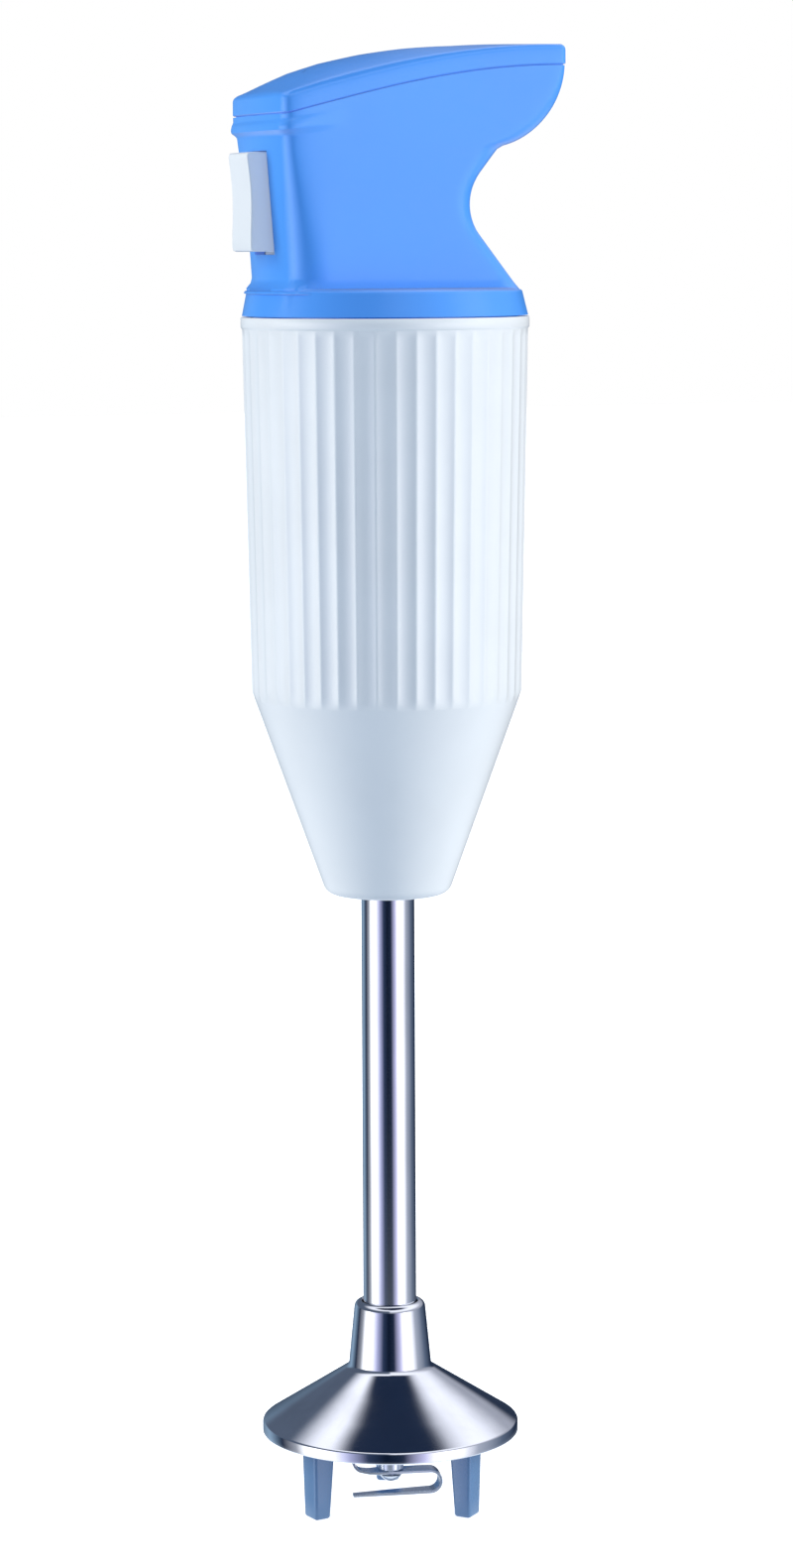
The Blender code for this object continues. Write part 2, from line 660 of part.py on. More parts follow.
def make_shaft_bushes():
    shaft_hole = SHAFT_R + GAP
    tube_in = TUBE_R - TUBE_WALL - GAP
    put_object("upper_shaft_bush", ring_body(tube_in, shaft_hole, 144.0 * MM, 154.0 * MM, 16), bronze())
    put_object("lower_shaft_bush", ring_body(TUBE_R, shaft_hole, 28.5 * MM, 36.5 * MM, 16), bronze())
    profile = [(2.8 * MM, 24.8 * MM), (6.0 * MM, 24.8 * MM), (6.0 * MM, 28.2 * MM), (3.6 * MM, 28.2 * MM),
               (3.6 * MM, 26.6 * MM), (2.8 * MM, 26.0 * MM)]
    put_object("shaft_seal", turned(profile, 16), rubber())


# ---------------------------------------------------------------- motor, fixed parts

def sector(inner_r, outer_r, low, high, steps):
    """Outline of a ring sector, angles in degrees."""
    return arc((0, 0), outer_r, low, high, steps) + arc((0, 0), inner_r, high, low, steps)


def make_stator_core():
    """Two-pole lamination stack: round outside, two pole faces, two windows and bolt holes."""
    stator = put_object("stator_core", disc_body(STATOR_R, STATOR_LOW_Z, STATOR_HIGH_Z, 36),
                        lamination_steel())
    window_r = 19.8 * MM
    bore = []
    for low, high, radius, steps in ((-50, 50, STATOR_BORE_R, 8), (52, 128, window_r, 6),
                                     (130, 230, STATOR_BORE_R, 8), (232, 308, window_r, 6)):
        bore += arc((0, 0), radius, low, high, steps)
    cut(stator, prism(bore, STATOR_LOW_Z - OVERLAP, STATOR_HIGH_Z + OVERLAP), "bore")
    cut(stator, bolt_holes(STATOR_LOW_Z, STATOR_HIGH_Z), "bolt_holes")


def bolt_holes(low_z, high_z):
    """Clearance holes for the two motor bolts between two heights."""
    return merged([rod((0, y, low_z - OVERLAP), (0, y, high_z + OVERLAP), BOLT_R + GAP, 12)
                   for y in MOTOR_BOLTS.values()])


def make_screw(name, place, tip_z, head_z, shank_r, head_r):
    """A round-headed screw standing along Z, its head's underside at head_z."""
    profile = [(0.0, tip_z), (shank_r * 0.7, tip_z), (shank_r, tip_z + 0.5 * MM), (shank_r, head_z),
               (head_r, head_z), (head_r, head_z + head_r * 0.5), (head_r * 0.6, head_z + head_r * 0.8),
               (0.0, head_z + head_r * 0.8)]
    bm = turn_body(turned(profile, 12), Matrix.Translation((place[0], place[1], 0.0)))
    put_object(name, bm, bare_steel())


def make_field_coil(name, turn):
    """A saddle coil: a frame on a cylinder round one pole, its sides in the stator's windows."""
    angles = [-84.0, -70.0, -56.0, -40.0, -20.0, 0.0, 20.0, 40.0, 56.0, 70.0, 84.0]
    heights = [COIL_LOW_Z, STATOR_LOW_Z - GAP, STATOR_HIGH_Z + GAP, COIL_HIGH_Z]
    inner_r, outer_r = 15.0 * MM, 19.3 * MM
    bm = bmesh.new()
    grid = [[bm.verts.new((inner_r * cos(radians(a)), inner_r * sin(radians(a)), z)) for a in angles]
            for z in heights]
    for row in range(3):
        for k in range(len(angles) - 1):
            if row == 1 and 2 <= k < len(angles) - 3:
                continue
            bm.faces.new((grid[row][k], grid[row][k + 1], grid[row + 1][k + 1], grid[row + 1][k]))
    shell = bmesh.ops.extrude_face_region(bm, geom=bm.faces[:])["geom"]
    for vert in (v for v in shell if isinstance(v, bmesh.types.BMVert)):
        vert.co.x *= outer_r / inner_r
        vert.co.y *= outer_r / inner_r
    bmesh.ops.delete(bm, geom=[v for v in bm.verts if not v.link_faces], context='VERTS')
    put_object(name, turn_body(bm, Matrix.Rotation(radians(turn), 4, 'Z')), copper())


def make_bracket(name, plate, boss, post, pocket_r, pocket, hole_r):
    """A motor end bracket: a bar with a bearing boss and two posts that reach the stator."""
    bar = put_object(name, box((-8.0 * MM, -24.6 * MM, plate[0]), (8.0 * MM, 24.6 * MM, plate[1])),
                     grey_plastic())
    join(bar, disc_body(9.5 * MM, boss[0], boss[1], 20), "boss")
    for side in (-1, 1):
        near, far = sorted((side * 19.8 * MM, side * 24.5 * MM))
        join(bar, box((-3.5 * MM, near, post[0]), (3.5 * MM, far, post[1])), "post_%d" % (side + 1))
    cut(bar, bolt_holes(min(post[0], plate[0]), max(post[1], plate[1])), "bolt_holes")
    cut(bar, disc_body(pocket_r, pocket[0], pocket[1], 20), "bearing_pocket")
    cut(bar, disc_body(hole_r, boss[0] - OVERLAP, boss[1] + OVERLAP, 16), "shaft_hole")
    return bar


def make_brackets():
    upper = make_bracket("upper_bracket", (256.0 * MM, 260.0 * MM), (254.0 * MM, 261.6 * MM),
                         (STATOR_HIGH_Z + GAP, 256.6 * MM), 6.8 * MM, (255.2 * MM, 262.0 * MM), 3.4 * MM)
    for side in (-1, 1):
        near, far = sorted((side * 7.0 * MM, side * 24.0 * MM))
        join(upper, box((near, -4.0 * MM, 256.4 * MM), (far, 4.0 * MM, 259.6 * MM)), "arm_%d" % (side + 1))
        near, far = sorted((side * 19.5 * MM, side * 24.0 * MM))
        join(upper, box((near, -3.8 * MM, BRUSH_Z + 4.8 * MM), (far, 3.8 * MM, 257.0 * MM)),
             "lug_%d" % (side + 1))
    make_bracket("lower_bracket", (184.0 * MM, 187.4 * MM), (182.6 * MM, 190.0 * MM),
                 (187.0 * MM, STATOR_LOW_Z - GAP), 6.8 * MM, (184.8 * MM, 190.4 * MM), 3.4 * MM)


def make_bearings():
    """Ball bearings, each drawn as one ring."""
    for name, low in (("upper_bearing", 255.5 * MM), ("lower_bearing", 185.1 * MM)):
        put_object(name, ring_body(6.5 * MM, SHAFT_R + GAP, low, low + 4.6 * MM), bare_steel())


def make_brushes():
    """Two carbon brushes with their springs, each in a square holder."""
    for name, turn in (("left", 180.0), ("right", 0.0)):
        spin = Matrix.Rotation(radians(turn), 4, 'Z')
        half, hole = 4.4 * MM, 2.8 * MM
        body = turn_body(box((9.3 * MM, -half, BRUSH_Z - half), (24.0 * MM, half, BRUSH_Z + half)), spin)
        holder = put_object("brush_holder_" + name, body, brass())
        cut(holder, turn_body(box((8.0 * MM, -hole, BRUSH_Z - hole), (22.8 * MM, hole, BRUSH_Z + hole)),
                              spin), "channel")
        brush = box((COMMUTATOR_R + GAP, -2.5 * MM, BRUSH_Z - 2.5 * MM),
                    (16.5 * MM, 2.5 * MM, BRUSH_Z + 2.5 * MM))
        put_object("carbon_brush_" + name, turn_body(brush, spin), carbon())
        spring = coil(1.9 * MM, 0.25 * MM, 3.0, 17.1 * MM, 22.2 * MM)
        lie = spin @ Matrix.Translation((0, 0, BRUSH_Z)) @ Matrix.Rotation(pi / 2.0, 4, 'Y')
        put_object("brush_spring_" + name, turn_body(spring, lie), bare_steel())


def make_motor_fixings():
    for name, y in MOTOR_BOLTS.items():
        make_screw(name, (0.0, y), 181.5 * MM, 260.3 * MM, BOLT_R, 2.3 * MM)
    put_object("motor_mount_ring", ring_body(27.6 * MM, STATOR_R + GAP, 208.0 * MM, 214.0 * MM, 28),
               rubber())


# ---------------------------------------------------------------- rotor

def make_armature(axis):
    put_object("armature_shaft", disc_body(SHAFT_R, 173.5 * MM, 263.0 * MM, 16), bare_steel(), parent=axis)
    slots, slot_half, slot_r = 8, 2.0 * MM, 7.6 * MM
    outline = []
    for k in range(slots):
        middle = 2.0 * pi * k / slots
        mouth = atan2(slot_half, ARMATURE_R)
        tooth = 2.0 * pi / slots - 2.0 * mouth
        for along, across in ((ARMATURE_R * cos(mouth), -slot_half), (slot_r, -slot_half),
                              (slot_r, slot_half), (ARMATURE_R * cos(mouth), slot_half)):
            outline.append((along * cos(middle) - across * sin(middle),
                            along * sin(middle) + across * cos(middle)))
        for i in (1, 2):
            a = middle + mouth + tooth * i / 3.0
            outline.append((ARMATURE_R * cos(a), ARMATURE_R * sin(a)))
    core = put_object("armature_core", prism(outline, STATOR_LOW_Z, STATOR_HIGH_Z), lamination_steel(),
                      parent=axis)
    cut(core, disc_body(SHAFT_R + GAP, STATOR_LOW_Z - OVERLAP, STATOR_HIGH_Z + OVERLAP, 16), "bore")
    windings = put_object("armature_windings",
                          ring_body(12.8 * MM, 4.6 * MM, 200.5 * MM, STATOR_LOW_Z - GAP), copper(),
                          parent=axis)
    join(windings, ring_body(12.8 * MM, 4.6 * MM, STATOR_HIGH_Z + GAP, 239.0 * MM), "upper_end")
    bars = []
    for k in range(slots):
        bar = box((8.0 * MM, -1.6 * MM, 203.0 * MM), (12.4 * MM, 1.6 * MM, 236.0 * MM))
        bars.append(turn_body(bar, Matrix.Rotation(2.0 * pi * k / slots, 4, 'Z')))
    join(windings, merged(bars), "slot_bars")
    put_object("commutator", ring_body(COMMUTATOR_R, SHAFT_R + GAP, 241.0 * MM, 252.5 * MM), copper(),
               parent=axis)


def make_cooling_fan(axis):
    low, plate = 191.0 * MM, 192.2 * MM
    profile = [(SHAFT_R + GAP, low), (18.6 * MM, low), (18.6 * MM, plate), (6.0 * MM, plate),
               (6.0 * MM, 198.4 * MM), (SHAFT_R + GAP, 198.4 * MM)]
    fan = put_object("cooling_fan", turned(profile, 24), black_plastic(), parent=axis)
    blades = []
    for k in range(8):
        blade = box((5.4 * MM, -0.6 * MM, plate - OVERLAP), (18.2 * MM, 0.6 * MM, 198.2 * MM))
        blades.append(turn_body(blade, Matrix.Rotation(2.0 * pi * k / 8.0, 4, 'Z')))
    join(fan, merged(blades), "blades")


def make_couplings(axis):
    """Two jawed halves with a rubber spider between them."""
    jaw_in = 3.7 * MM
    upper = [(0.0, 172.0), (COUPLING_R / MM, 172.0), (COUPLING_R / MM, 181.0), (2.8, 181.0), (2.8, 173.2),
             (0.0, 173.2)]
    lower = [(0.0, 165.7), (COUPLING_R / MM, 165.7), (COUPLING_R / MM, 158.0), (2.8, 158.0), (2.8, 164.8),
             (0.0, 164.8)]
    for name, profile, first, low, high in (("motor_coupling", upper, 0.0, 166.2, 172.4),
                                            ("shaft_coupling", lower, 90.0, 165.3, 171.6)):
        half = put_object(name, turned([(r * MM, z * MM) for r, z in profile], 20), grey_plastic(),
                          parent=axis)
        jaws = [prism(sector(jaw_in, COUPLING_R - 0.1 * MM, turn - 21.0, turn + 21.0, 2),
                      low * MM, high * MM) for turn in (first, first + 180.0)]
        join(half, merged(jaws), "jaws")
    spider = put_object("coupling_spider", ring_body(3.3 * MM, 1.2 * MM, 166.3 * MM, 171.4 * MM, 16),
                        rubber(), parent=axis)
    arms = [prism(sector(2.6 * MM, 7.2 * MM, turn - 19.0, turn + 19.0, 2), 166.3 * MM, 171.4 * MM)
            for turn in (45.0, 135.0, 225.0, 315.0)]
    join(spider, merged(arms), "arms")


def make_drive_shaft(axis):
    end_r = 2.0 * MM
    pin_z = 16.6 * MM
    profile = [(0.0, DRIVE_END_Z), (end_r - 0.4 * MM, DRIVE_END_Z), (end_r, DRIVE_END_Z + 0.4 * MM),
               (end_r, 20.0 * MM), (SHAFT_R, 20.5 * MM), (SHAFT_R, 164.4 * MM), (0.0, 164.4 * MM)]
    shaft = put_object("drive_shaft", turned(profile, 16), bare_steel(), parent=axis)
    turn = Matrix.Rotation(radians(BLADE_ANGLE), 4, 'Z')
    reach = HUB_R - 0.05 * MM
    cut(shaft, turn_body(rod((-4.0 * MM, 0, pin_z), (4.0 * MM, 0, pin_z), 0.95 * MM, 12), turn), "pin_hole")
    put_object("drive_pin", turn_body(rod((-reach, 0, pin_z), (reach, 0, pin_z), 0.7 * MM, 12), turn),
               bare_steel(), parent=axis)
    put_object("retaining_ring", ring_body(4.3 * MM, SHAFT_R + GAP, 37.4 * MM, 38.4 * MM, 14), bare_steel(),
               parent=axis)


# ---------------------------------------------------------------- blade

def make_blade_hub(axis):
    stud_r, bore_r = 1.2 * MM, 2.3 * MM
    under, over = BLADE_Z - BLADE_THICK / 2.0 - GAP, BLADE_Z + BLADE_THICK / 2.0 + GAP
    profile = [(0.0, 5.2 * MM), (0.9 * MM, 5.35 * MM), (1.7 * MM, 5.8 * MM), (2.4 * MM, 6.4 * MM),
               (2.6 * MM, under), (stud_r, under), (stud_r, over), (HUB_R, over),
               (HUB_R, HUB_TOP_Z), (bore_r, HUB_TOP_Z), (bore_r, DRIVE_END_Z - GAP), (0.0, DRIVE_END_Z - GAP)]
    hub = put_object("blade_hub", turned(profile, 20), polished_steel(), parent=axis)
    slot = box((-4.0 * MM, -1.05 * MM, 15.6 * MM), (4.0 * MM, 1.05 * MM, HUB_TOP_Z + OVERLAP))
    cut(hub, turn_body(slot, Matrix.Rotation(radians(BLADE_ANGLE), 4, 'Z')), "pin_slot")


def make_blade(axis):
    """One strip bent into an S: a folded arm below on one side, an upturned arm on the other."""
    bend_r = (BLADE_Z - BLADE_LOW_Z) / 2.0
    tip_drop = 0.5 * MM
    right = 11.7 * MM - BLADE_THICK / 2.0 - bend_r
    left = -8.9 * MM + BLADE_THICK / 2.0
    left_bend = 2.2 * MM
    path = [(left, BLADE_Z + 6.0 * MM, 1.4), (left, BLADE_Z + left_bend + 0.6 * MM, 2.2)]
    path += [(x, z, 2.6) for x, z in arc((left + left_bend, BLADE_Z + left_bend + 0.3 * MM), left_bend,
                                         190.0, 262.0, 4)]
    path += [(-3.2 * MM, BLADE_Z, 4.3), (0.0, BLADE_Z, 4.3), (right - 1.0 * MM, BLADE_Z, 4.3)]
    path += [(x, z, 4.1) for x, z in arc((right, BLADE_Z - bend_r), bend_r, 90.0, -90.0, 8)]
    path += [(0.0, BLADE_LOW_Z - tip_drop / 2.0, 3.0), (-8.6 * MM, BLADE_LOW_Z - tip_drop, 1.7)]
    sections = []
    for k, (x, z, width) in enumerate(path):
        before, after = path[max(0, k - 1)], path[min(len(path) - 1, k + 1)]
        along = Vector((after[0] - before[0], 0.0, after[1] - before[1])).normalized()
        off = Vector((-along.z, 0.0, along.x)) * BLADE_THICK / 2.0
        side = Vector((0.0, width * MM / 2.0, 0.0))
        middle = Vector((x, 0.0, z))
        sections.append([middle + off - side, middle + off + side, middle - off + side, middle - off - side])
    turn = Matrix.Rotation(radians(BLADE_ANGLE), 4, 'Z')
    blade = put_object("blade", turn_body(loft(sections), turn), polished_steel(), parent=axis)
    cut(blade, disc_body(1.5 * MM, BLADE_Z - 2.0 * MM, BLADE_Z + 2.0 * MM, 16), "stud_hole")


# ---------------------------------------------------------------- switch

def side_prism(outline, half):
    """Extrude an (x, z) outline across Y, from -half to half."""
    bm = bmesh.new()
    face = bm.faces.new([bm.verts.new((x, -half, z)) for x, z in outline])
    far = bmesh.ops.extrude_face_region(bm, geom=[face])["geom"]
    bmesh.ops.translate(bm, verts=[v for v in far if isinstance(v, bmesh.types.BMVert)],
                        vec=(0, 2.0 * half, 0))
    return bm


def make_switch_button(axis):
    """Press bar with a hollowed front, an eye on its pin, a stop lip and a nub for the switch."""
    front = BUTTON_FRONT_X
    outline = [(front, BUTTON_LOW_Z)]
    outline += [(front + x * MM, z * MM) for x, z in ((0.0, 289.0), (0.1, 293.0), (0.05, 297.0),
                                                       (-0.25, 301.0))]
    outline.append((front - 0.8 * MM, BUTTON_HIGH_Z))
    eye_r = 2.3 * MM
    outline += arc((PIN_X, PIN_Z), eye_r, 90.0, -60.0, 6)
    outline += [(x * MM, z * MM) for x, z in ((-26.4, 299.4), (-26.4, 291.9), (-24.3, 291.3), (-24.3, 288.7),
                                               (-25.0, 288.2), (-25.0, 281.9), (-26.4, 281.9))]
    outline.append((-26.4 * MM, BUTTON_LOW_Z))
    bm = side_prism(outline, BUTTON_HALF)
    pillar_front = -31.0 * MM
    soft = [e for e in bm.edges if max(v.co.x for v in e.verts) < pillar_front
            and abs(e.verts[0].co.y) > BUTTON_HALF * 0.9 and e.verts[0].co.y == e.verts[1].co.y]
    bmesh.ops.bevel(bm, geom=soft, offset=0.9 * MM, segments=2, profile=0.5, affect='EDGES',
                    clamp_overlap=True)
    button = put_object("switch_button", bm, white_plastic(), place=(PIN_X, 0.0, PIN_Z), parent=axis)
    cut(button, rod((PIN_X, -9.0 * MM, PIN_Z), (PIN_X, 9.0 * MM, PIN_Z), 1.3 * MM, 16), "pin_hole")


def make_switch_parts():
    """Carrier with two ears for the pin, the pin, the micro switch and its plunger."""
    plate_x = -10.2 * MM
    plate = box((plate_x, -8.8 * MM, 284.0 * MM), (-8.4 * MM, 8.8 * MM, 306.5 * MM))
    carrier = put_object("switch_carrier", plate, grey_plastic())
    for side in (-1, 1):
        near, far = sorted((side * 6.9 * MM, side * 8.7 * MM))
        join(carrier, box((-27.4 * MM, near, 300.6 * MM), (-9.0 * MM, far, 306.3 * MM)),
             "ear_%d" % (side + 1))
    cut(carrier, rod((PIN_X, -9.5 * MM, PIN_Z), (PIN_X, 9.5 * MM, PIN_Z), 1.3 * MM, 16), "pin_holes")
    put_object("button_pin", rod((PIN_X, -8.9 * MM, PIN_Z), (PIN_X, 8.9 * MM, PIN_Z), 1.0 * MM, 16),
               bare_steel())
    body = round_edges(box((SWITCH_FRONT_X, -3.2 * MM, 285.6 * MM), (plate_x - GAP, 3.2 * MM, 303.6 * MM)),
                       0.4 * MM)
    switch = put_object("micro_switch", body, black_plastic())
    cut(switch, rod((SWITCH_FRONT_X - 1.0 * MM, 0, PLUNGER_Z), (-15.0 * MM, 0, PLUNGER_Z), 1.5 * MM, 16),
        "plunger_hole")
    plunger = rod((-24.0 * MM, 0, PLUNGER_Z), (-17.2 * MM, 0, PLUNGER_Z), 1.2 * MM, 16)
    put_object("switch_plunger", plunger, white_plastic(), place=(SWITCH_FRONT_X, 0.0, PLUNGER_Z))
    body = round_edges(box((-1.0 * MM, -4.5 * MM, 284.0 * MM), (9.0 * MM, 4.5 * MM, 298.0 * MM)), 0.8 * MM, 2)
    put_object("suppressor_capacitor", body, brass())


def make_cord_clamp():
    """Saddle over the cord's place, with its two screws in the head's block."""
    foot = CLAMP_Z + GAP
    outline = [(-8.5, 0.0), (-3.6, 0.0), (-3.0, 3.2), (3.0, 3.2), (3.6, 0.0), (8.5, 0.0), (8.5, 2.5),
               (4.5, 2.5), (3.6, 5.1), (-3.6, 5.1), (-4.5, 2.5), (-8.5, 2.5)]
    bm = bmesh.new()
    face = bm.faces.new([bm.verts.new((CLAMP_X + 0.5 * MM, y * MM, foot + z * MM)) for y, z in outline])
    far = bmesh.ops.extrude_face_region(bm, geom=[face])["geom"]
    bmesh.ops.translate(bm, verts=[v for v in far if isinstance(v, bmesh.types.BMVert)],
                        vec=(CLAMP_DEPTH - 1.0 * MM, 0, 0))
    clamp = put_object("cord_clamp", bm, grey_plastic())
    x = CLAMP_X + CLAMP_DEPTH / 2.0
    cut(clamp, merged([rod((x, y, foot - OVERLAP), (x, y, foot + 2.5 * MM + OVERLAP), 1.2 * MM, 12)
                       for y in CLAMP_SCREWS.values()]), "screw_holes")
    for name, y in CLAMP_SCREWS.items():
        make_screw(name, (x, y), CLAMP_Z - 4.0 * MM, foot + 2.5 * MM + GAP, 0.9 * MM, 1.8 * MM)


def make_lead(name, points, mat):
    """An insulated lead: a round tube along a smooth curve through its points."""
    knots = [Vector(p) * MM for p in points]
    knots = [knots[0] * 2.0 - knots[1]] + knots + [knots[-1] * 2.0 - knots[-2]]
    route = []
    for a, b, c, d in zip(knots, knots[1:], knots[2:], knots[3:]):
        for i in range(3):
            t = i / 3.0
            route.append(0.5 * (2.0 * b + (c - a) * t + (2.0 * a - 5.0 * b + 4.0 * c - d) * t * t
                                + (3.0 * b - a - 3.0 * c + d) * t ** 3))
    route.append(knots[-2])
    curve = bpy.data.curves.new(name, 'CURVE')
    curve.dimensions = '3D'
    curve.bevel_depth = 1.0 * MM
    curve.bevel_resolution = 1
    curve.use_fill_caps = True
    line = curve.splines.new('POLY')
    line.points.add(len(route) - 1)
    for point, place in zip(line.points, route):
        point.co = (*place, 1.0)
    curve.materials.append(mat)
    lead = bpy.data.objects.new(name, curve)
    bpy.context.scene.collection.objects.link(lead)


def make_leads():
    make_lead("live_lead", [(18.9, 1.6, 316.0), (8.0, 7.0, 311.0), (0.0, 10.8, 303.0), (-5.0, 11.0, 292.0),
                            (-9.5, 9.0, 281.0), (-15.0, 3.0, 280.0), (-15.6, 1.6, 285.2)],
              material("brown_lead", (0.25, 0.11, 0.05), 0.5))
    make_lead("neutral_lead", [(18.9, -1.6, 316.0), (12.0, -7.5, 308.0), (9.0, -10.6, 296.0),
                               (9.0, -11.0, 283.0), (10.5, -12.0, 270.0), (12.5, -13.2, 256.0),
                               (12.4, -12.4, 245.0), (12.2, -12.2, 238.4)],
              material("blue_lead", (0.05, 0.14, 0.45), 0.5))


def main():
    clear_scene()
    rotor_axis = put_empty("rotor_axis", (0.0, 0.0, 0.0))
    button_axis = put_empty("button_axis", (PIN_X, 0.0, PIN_Z))
    make_head_shell()
    make_top_cover()
    make_cord_inlet_bush()
    make_cord_clamp()
    make_leads()
    make_switch_parts()
    make_switch_button(button_axis)
    make_motor_housing()
    make_tube_flange()
    make_shaft_tube()
    make_shaft_bushes()
    make_bell_guard()
    make_guard_legs()
    make_stator_core()
    make_field_coil("field_coil_right", 0.0)
    make_field_coil("field_coil_left", 180.0)
    make_brackets()
    make_bearings()
    make_brushes()
    make_motor_fixings()
    make_armature(rotor_axis)
    make_cooling_fan(rotor_axis)
    make_couplings(rotor_axis)
    make_drive_shaft(rotor_axis)
    make_blade_hub(rotor_axis)
    make_blade(rotor_axis)


main()
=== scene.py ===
import json
from math import atan2, cos, hypot, pi, radians, sin, sqrt

import bmesh
import bpy
from mathutils import Matrix, Vector


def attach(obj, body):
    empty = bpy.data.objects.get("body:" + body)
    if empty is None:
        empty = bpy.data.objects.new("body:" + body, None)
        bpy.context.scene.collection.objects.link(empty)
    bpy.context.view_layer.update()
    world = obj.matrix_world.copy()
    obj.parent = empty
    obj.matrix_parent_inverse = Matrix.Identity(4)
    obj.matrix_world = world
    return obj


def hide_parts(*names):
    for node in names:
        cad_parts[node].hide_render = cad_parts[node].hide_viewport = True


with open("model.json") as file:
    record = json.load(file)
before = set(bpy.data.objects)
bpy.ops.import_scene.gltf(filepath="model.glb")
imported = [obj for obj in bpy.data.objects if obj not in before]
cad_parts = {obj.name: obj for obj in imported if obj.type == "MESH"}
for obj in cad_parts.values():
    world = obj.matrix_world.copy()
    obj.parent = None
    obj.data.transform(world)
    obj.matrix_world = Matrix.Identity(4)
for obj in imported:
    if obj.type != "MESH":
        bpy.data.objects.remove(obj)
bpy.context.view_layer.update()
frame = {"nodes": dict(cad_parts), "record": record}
cadNodes = frame["nodes"]
mm = 0.001
gap = 0.3 * mm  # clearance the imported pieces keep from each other

# ---- picking and shaping in edit mode


def openEdit(piece):
    bpy.ops.object.select_all(action='DESELECT')
    piece.select_set(True)
    bpy.context.view_layer.objects.active = piece
    bpy.ops.object.mode_set(mode='EDIT')


def closeEdit(piece, angle=30.0, merge=0.001):
    # doubles merged, then normals outwards, then smooth up to an angle
    bpy.ops.mesh.select_all(action='SELECT')
    bpy.ops.mesh.remove_doubles(threshold=merge * mm)
    bpy.ops.mesh.select_all(action='SELECT')
    bpy.ops.mesh.normals_make_consistent(inside=False)
    bpy.ops.object.mode_set(mode='OBJECT')
    smooth(piece, angle)
    return piece


def smooth(piece, angle):
    bpy.ops.object.select_all(action='DESELECT')
    piece.select_set(True)
    bpy.context.view_layer.objects.active = piece
    bpy.ops.object.shade_smooth_by_angle(angle=radians(angle))


def pick(piece, kind, test):
    # selects the vertices, edges or faces that pass the test
    bpy.ops.mesh.select_mode(type=kind)
    bpy.ops.mesh.select_all(action='DESELECT')
    mesh = bmesh.from_edit_mesh(piece.data)
    found = {'VERT': mesh.verts, 'EDGE': mesh.edges, 'FACE': mesh.faces}[kind]
    for item in found:
        if test(item):
            item.select_set(True)
    mesh.select_flush_mode()
    bmesh.update_edit_mesh(piece.data)


def ends(edge):
    return edge.verts[0].co, edge.verts[1].co


def newCircle(name, count, radius, height):
    bpy.ops.object.select_all(action='DESELECT')
    bpy.ops.mesh.primitive_circle_add(vertices=count, radius=radius, location=(0, 0, height))
    bpy.ops.object.transform_apply(location=True, rotation=True, scale=True)
    piece = bpy.context.object
    piece.name = piece.data.name = name
    return piece


def pullRings(piece, stations, radius, height):
    # the selected ring is pulled from station to station, (radius, height)
    for newRadius, newHeight in stations:
        bpy.ops.mesh.extrude_region_move(TRANSFORM_OT_translate={"value": (0, 0, newHeight - height)})
        scale = newRadius / radius
        bpy.ops.transform.resize(value=(scale, scale, 1), center_override=(0, 0, newHeight))
        radius, height = newRadius, newHeight


def turnPiece(name, profile, count, angle=30.0, merge=0.001):
    # a circle pulled along a closed profile, back to its own start
    piece = newCircle(name, count, *profile[0])
    openEdit(piece)
    bpy.ops.mesh.select_mode(type='VERT')  # a bare circle has no faces to select
    bpy.ops.mesh.select_all(action='SELECT')
    pullRings(piece, profile[1:] + profile[:1], *profile[0])
    return closeEdit(piece, angle, merge)


def layRing(piece, places, ranks):
    # the newest ring's vertices go to their places, in the order of the ring below
    mesh = bmesh.from_edit_mesh(piece.data)
    mesh.verts.index_update()
    mesh.verts.ensure_lookup_table()
    start = len(mesh.verts) - len(places)
    newRanks = {}
    for vert in mesh.verts[start:]:
        older = [edge.other_vert(vert).index for edge in vert.link_edges
                 if edge.other_vert(vert).index < start]
        rank = ranks[older[0]] if older else vert.index
        vert.co = places[rank]
        newRanks[vert.index] = rank
    bmesh.update_edit_mesh(piece.data)
    return newRanks


def loftPiece(name, rings, shut=False, capped=True, angle=30.0):
    # a ring extruded and laid on each next ring of places
    piece = newCircle(name, len(rings[0]), 0.01, 0)
    openEdit(piece)
    bpy.ops.mesh.select_all(action='SELECT')
    ranks = layRing(piece, rings[0], {})
    if capped:
        bpy.ops.mesh.edge_face_add()
        bpy.ops.mesh.select_mode(type='FACE')
    for ring in rings[1:] + (rings[:1] if shut else []):
        bpy.ops.mesh.extrude_region_move()
        ranks = layRing(piece, ring, ranks)
    return closeEdit(piece, angle)


def applyAll(piece):
    bpy.ops.object.select_all(action='DESELECT')
    piece.select_set(True)
    bpy.context.view_layer.objects.active = piece
    for modifier in list(piece.modifiers):
        bpy.ops.object.modifier_apply(modifier=modifier.name)


def combine(piece, tool, operation):
    step = piece.modifiers.new(operation.lower(), 'BOOLEAN')
    step.operation = operation
    step.solver = 'EXACT'
    step.object = tool
    applyAll(piece)
    bpy.data.objects.remove(tool)


def roundEdges(piece, width, steps=3, limit=40.0):
    step = piece.modifiers.new("soft edges", 'BEVEL')
    step.width = width
    step.segments = steps
    step.limit_method = 'ANGLE'
    step.angle_limit = radians(limit)
    step.harden_normals = False
    applyAll(piece)


def block(name, low, high, bevel=0.0, steps=3):
    bpy.ops.object.select_all(action='DESELECT')
    middle = [(a + b) / 2 for a, b in zip(low, high)]
    bpy.ops.mesh.primitive_cube_add(size=1, location=middle, scale=[b - a for a, b in zip(low, high)])
    bpy.ops.object.transform_apply(location=True, rotation=True, scale=True)
    piece = bpy.context.object
    piece.name = piece.data.name = name
    if bevel:
        openEdit(piece)
        bpy.ops.mesh.select_all(action='SELECT')
        bpy.ops.mesh.bevel(offset=bevel, segments=steps, profile=0.5, affect='EDGES')
        bpy.ops.object.mode_set(mode='OBJECT')
    return piece


